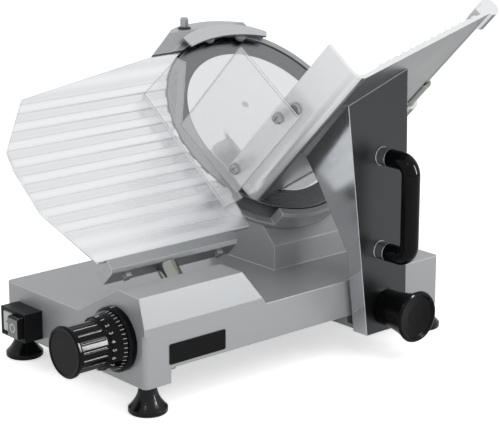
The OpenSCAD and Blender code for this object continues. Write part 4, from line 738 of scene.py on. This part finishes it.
class SLICER_OT_stage(bpy.types.Operator):
    """Sets the floor, the lamps, the world and the camera"""

    bl_idname = "slicer.stage"
    bl_label = "Set the stage"
    floor_half = 6
    floor_glow, floor_glow_in_gloss = 0.55, 0.1
    room_light = 0.5
    lamp_target = Vector((0, 0, 0.2))

    def execute(self, context):
        self.floor()
        self.lamps()
        self.world(context.scene)
        self.camera(context.scene)
        context.scene.view_settings.view_transform = "Standard"
        return {"FINISHED"}

    def floor(self):
        def sheet(shape):
            bmesh.ops.create_grid(shape, x_segments=8, y_segments=8, size=self.floor_half)

        # White paper: matt, and bright enough to meet the white background without an edge
        material = finish("white_paper", linear("#ffffff"), (2, 2, 2), (0.85, 0.95), 0.01, spread=0.01)
        tree = material.node_tree
        shader = tree.nodes["Principled BSDF"]
        path = add_node(tree, "ShaderNodeLightPath")
        strength = add_node(tree, "ShaderNodeMapRange", {
            "Value": path.outputs["Is Glossy Ray"], "To Min": self.floor_glow,
            "To Max": self.floor_glow_in_gloss})
        glow = add_node(tree, "ShaderNodeEmission", {
            "Color": linear("#ffffff"), "Strength": strength.outputs[0]})
        lit = add_node(tree, "ShaderNodeAddShader", {0: shader.outputs[0], 1: glow.outputs[0]})
        seen = add_node(tree, "ShaderNodeMixShader", {
            0: background_rays(tree), 1: shader.outputs[0], 2: lit.outputs[0]})
        tree.links.new(seen.outputs[0], tree.nodes["Material Output"].inputs["Surface"])
        mesh = mesh_from(sheet)
        mesh.materials.append(material)
        floor = bpy.data.objects.new("floor", mesh)
        bpy.context.scene.collection.objects.link(floor)

    def lamps(self):
        # The broad lamps don't show in gloss, where they would whiten flat metal. The strips are for the
        # black mouldings alone: a hard line on each of them, as a studio's strip light gives. The glow is for
        # the base alone: a soft sheen along its ridge. Each row has name, place, size, power and receivers
        blacks, silver = (bpy.data.collections.new(name) for name in ("black_mouldings", "silver_base"))
        silver.objects.link(frame["nodes"]["base_casting"])
        for row in frame["record"]["subparts"]:
            if row["material_slot"] in ("black_plastic", "dark_plastic", "rubber"):
                blacks.objects.link(frame["nodes"][row["node"]])
        rows = (
            ("key", (-0.9, -1.6, 1.9), (2.0, 1.4), 12, None),
            ("fill", (1.9, -1.35, 0.9), (1.0, 1.2), 8, None),
            ("side", (1.8, 0.8, 1.1), (0.9, 1.2), 5, None),
            ("top", (1.3, 0.1, 2.1), (1.8, 1.8), 18, None),
            ("side_strip", (1.69, 0.95, 0.91), (0.26, 1.3), 80, blacks),
            ("front_strip", (0.9, -1.7, 2.2), (0.12, 0.12), 6, blacks),
            ("ridge_glow", (1.8, 1.18, 0.6), (0.5, 0.3), 9, silver),
        )
        for name, place, size, power, receivers in rows:
            data = bpy.data.lights.new(name, "AREA")
            data.shape = "RECTANGLE"
            data.size, data.size_y = size
            data.energy = power
            lamp = bpy.data.objects.new(name, data)
            lamp.location = place
            lamp.rotation_euler = (self.lamp_target - lamp.location).to_track_quat("-Z", "Y").to_euler()
            lamp.light_linking.receiver_collection = receivers
            lamp.visible_glossy = receivers is not None
            bpy.context.scene.collection.objects.link(lamp)

    def world(self, scene):
        scene.world = bpy.data.worlds.new("studio")
        scene.world.use_nodes = True
        tree = scene.world.node_tree
        light = tree.nodes["Background"]
        light.inputs["Color"].default_value = linear("#ffffff")
        light.inputs["Strength"].default_value = self.room_light
        white = add_node(tree, "ShaderNodeBackground", {"Color": linear("#ffffff"), "Strength": 1.0})
        both = add_node(tree, "ShaderNodeMixShader", {
            0: background_rays(tree), 1: light.outputs[0], 2: white.outputs[0]})
        tree.links.new(both.outputs[0], tree.nodes["World Output"].inputs["Surface"])

    def camera(self, scene):
        # Solved from the photo: where it stood, how it was turned, and its focal length in pixels
        place = (1.5069, -1.2885, 0.7128)
        azimuth, elevation = math.radians(48.87), math.radians(15.53)
        focal_px, width_px, sensor = 1779.35, 500, 36
        back = Vector((math.sin(azimuth) * math.cos(elevation), -math.cos(azimuth) * math.cos(elevation),
                       math.sin(elevation)))
        data = bpy.data.cameras.new("camera")
        data.sensor_fit = "HORIZONTAL"
        data.sensor_width = sensor
        data.lens = focal_px / width_px * sensor
        camera = bpy.data.objects.new("camera", data)
        camera.location = place
        camera.rotation_euler = (-back).to_track_quat("-Z", "Y").to_euler()
        scene.collection.objects.link(camera)
        scene.camera = camera


def background_rays(tree):
    """One for rays from the camera, from gloss and through glass, which see the white background."""
    path = add_node(tree, "ShaderNodeLightPath")
    first = add_node(tree, "ShaderNodeMath", {
        0: path.outputs["Is Camera Ray"], 1: path.outputs["Is Glossy Ray"]}, operation="MAXIMUM")
    second = add_node(tree, "ShaderNodeMath", {
        0: first.outputs[0], 1: path.outputs["Is Transmission Ray"]}, operation="MAXIMUM")
    return second.outputs[0]


OPERATORS = (
    SLICER_OT_materials,
    SLICER_OT_dial_marks,
    SLICER_OT_switch_marks,
    SLICER_OT_plate,
    SLICER_OT_small_trim,
    SLICER_OT_stage,
)


class SLICER_PT_panel(bpy.types.Panel):
    """Lists the slicer's operators and values in the sidebar"""

    bl_label = "Slicer"
    bl_space_type = "VIEW_3D"
    bl_region_type = "UI"
    bl_category = "Slicer"

    def draw(self, context):
        for group in (context.scene.slicer_colours, context.scene.slicer_sizes):
            for name in group.__annotations__:
                self.layout.prop(group, name)
        for operator in OPERATORS:
            self.layout.operator(operator.bl_idname)


CLASSES = (SlicerColours, SlicerSizes, *OPERATORS, SLICER_PT_panel)


def register():
    for item in CLASSES:
        bpy.utils.register_class(item)
    bpy.types.Scene.slicer_colours = PointerProperty(type=SlicerColours)
    bpy.types.Scene.slicer_sizes = PointerProperty(type=SlicerSizes)


def unregister():
    del bpy.types.Scene.slicer_sizes
    del bpy.types.Scene.slicer_colours
    for item in reversed(CLASSES):
        bpy.utils.unregister_class(item)


def main():
    register()
    bpy.ops.slicer.materials()
    bpy.ops.slicer.dial_marks()
    bpy.ops.slicer.switch_marks()
    bpy.ops.slicer.plate()
    bpy.ops.slicer.small_trim()
    bpy.ops.slicer.stage()


if __name__ == "__main__":
    main()
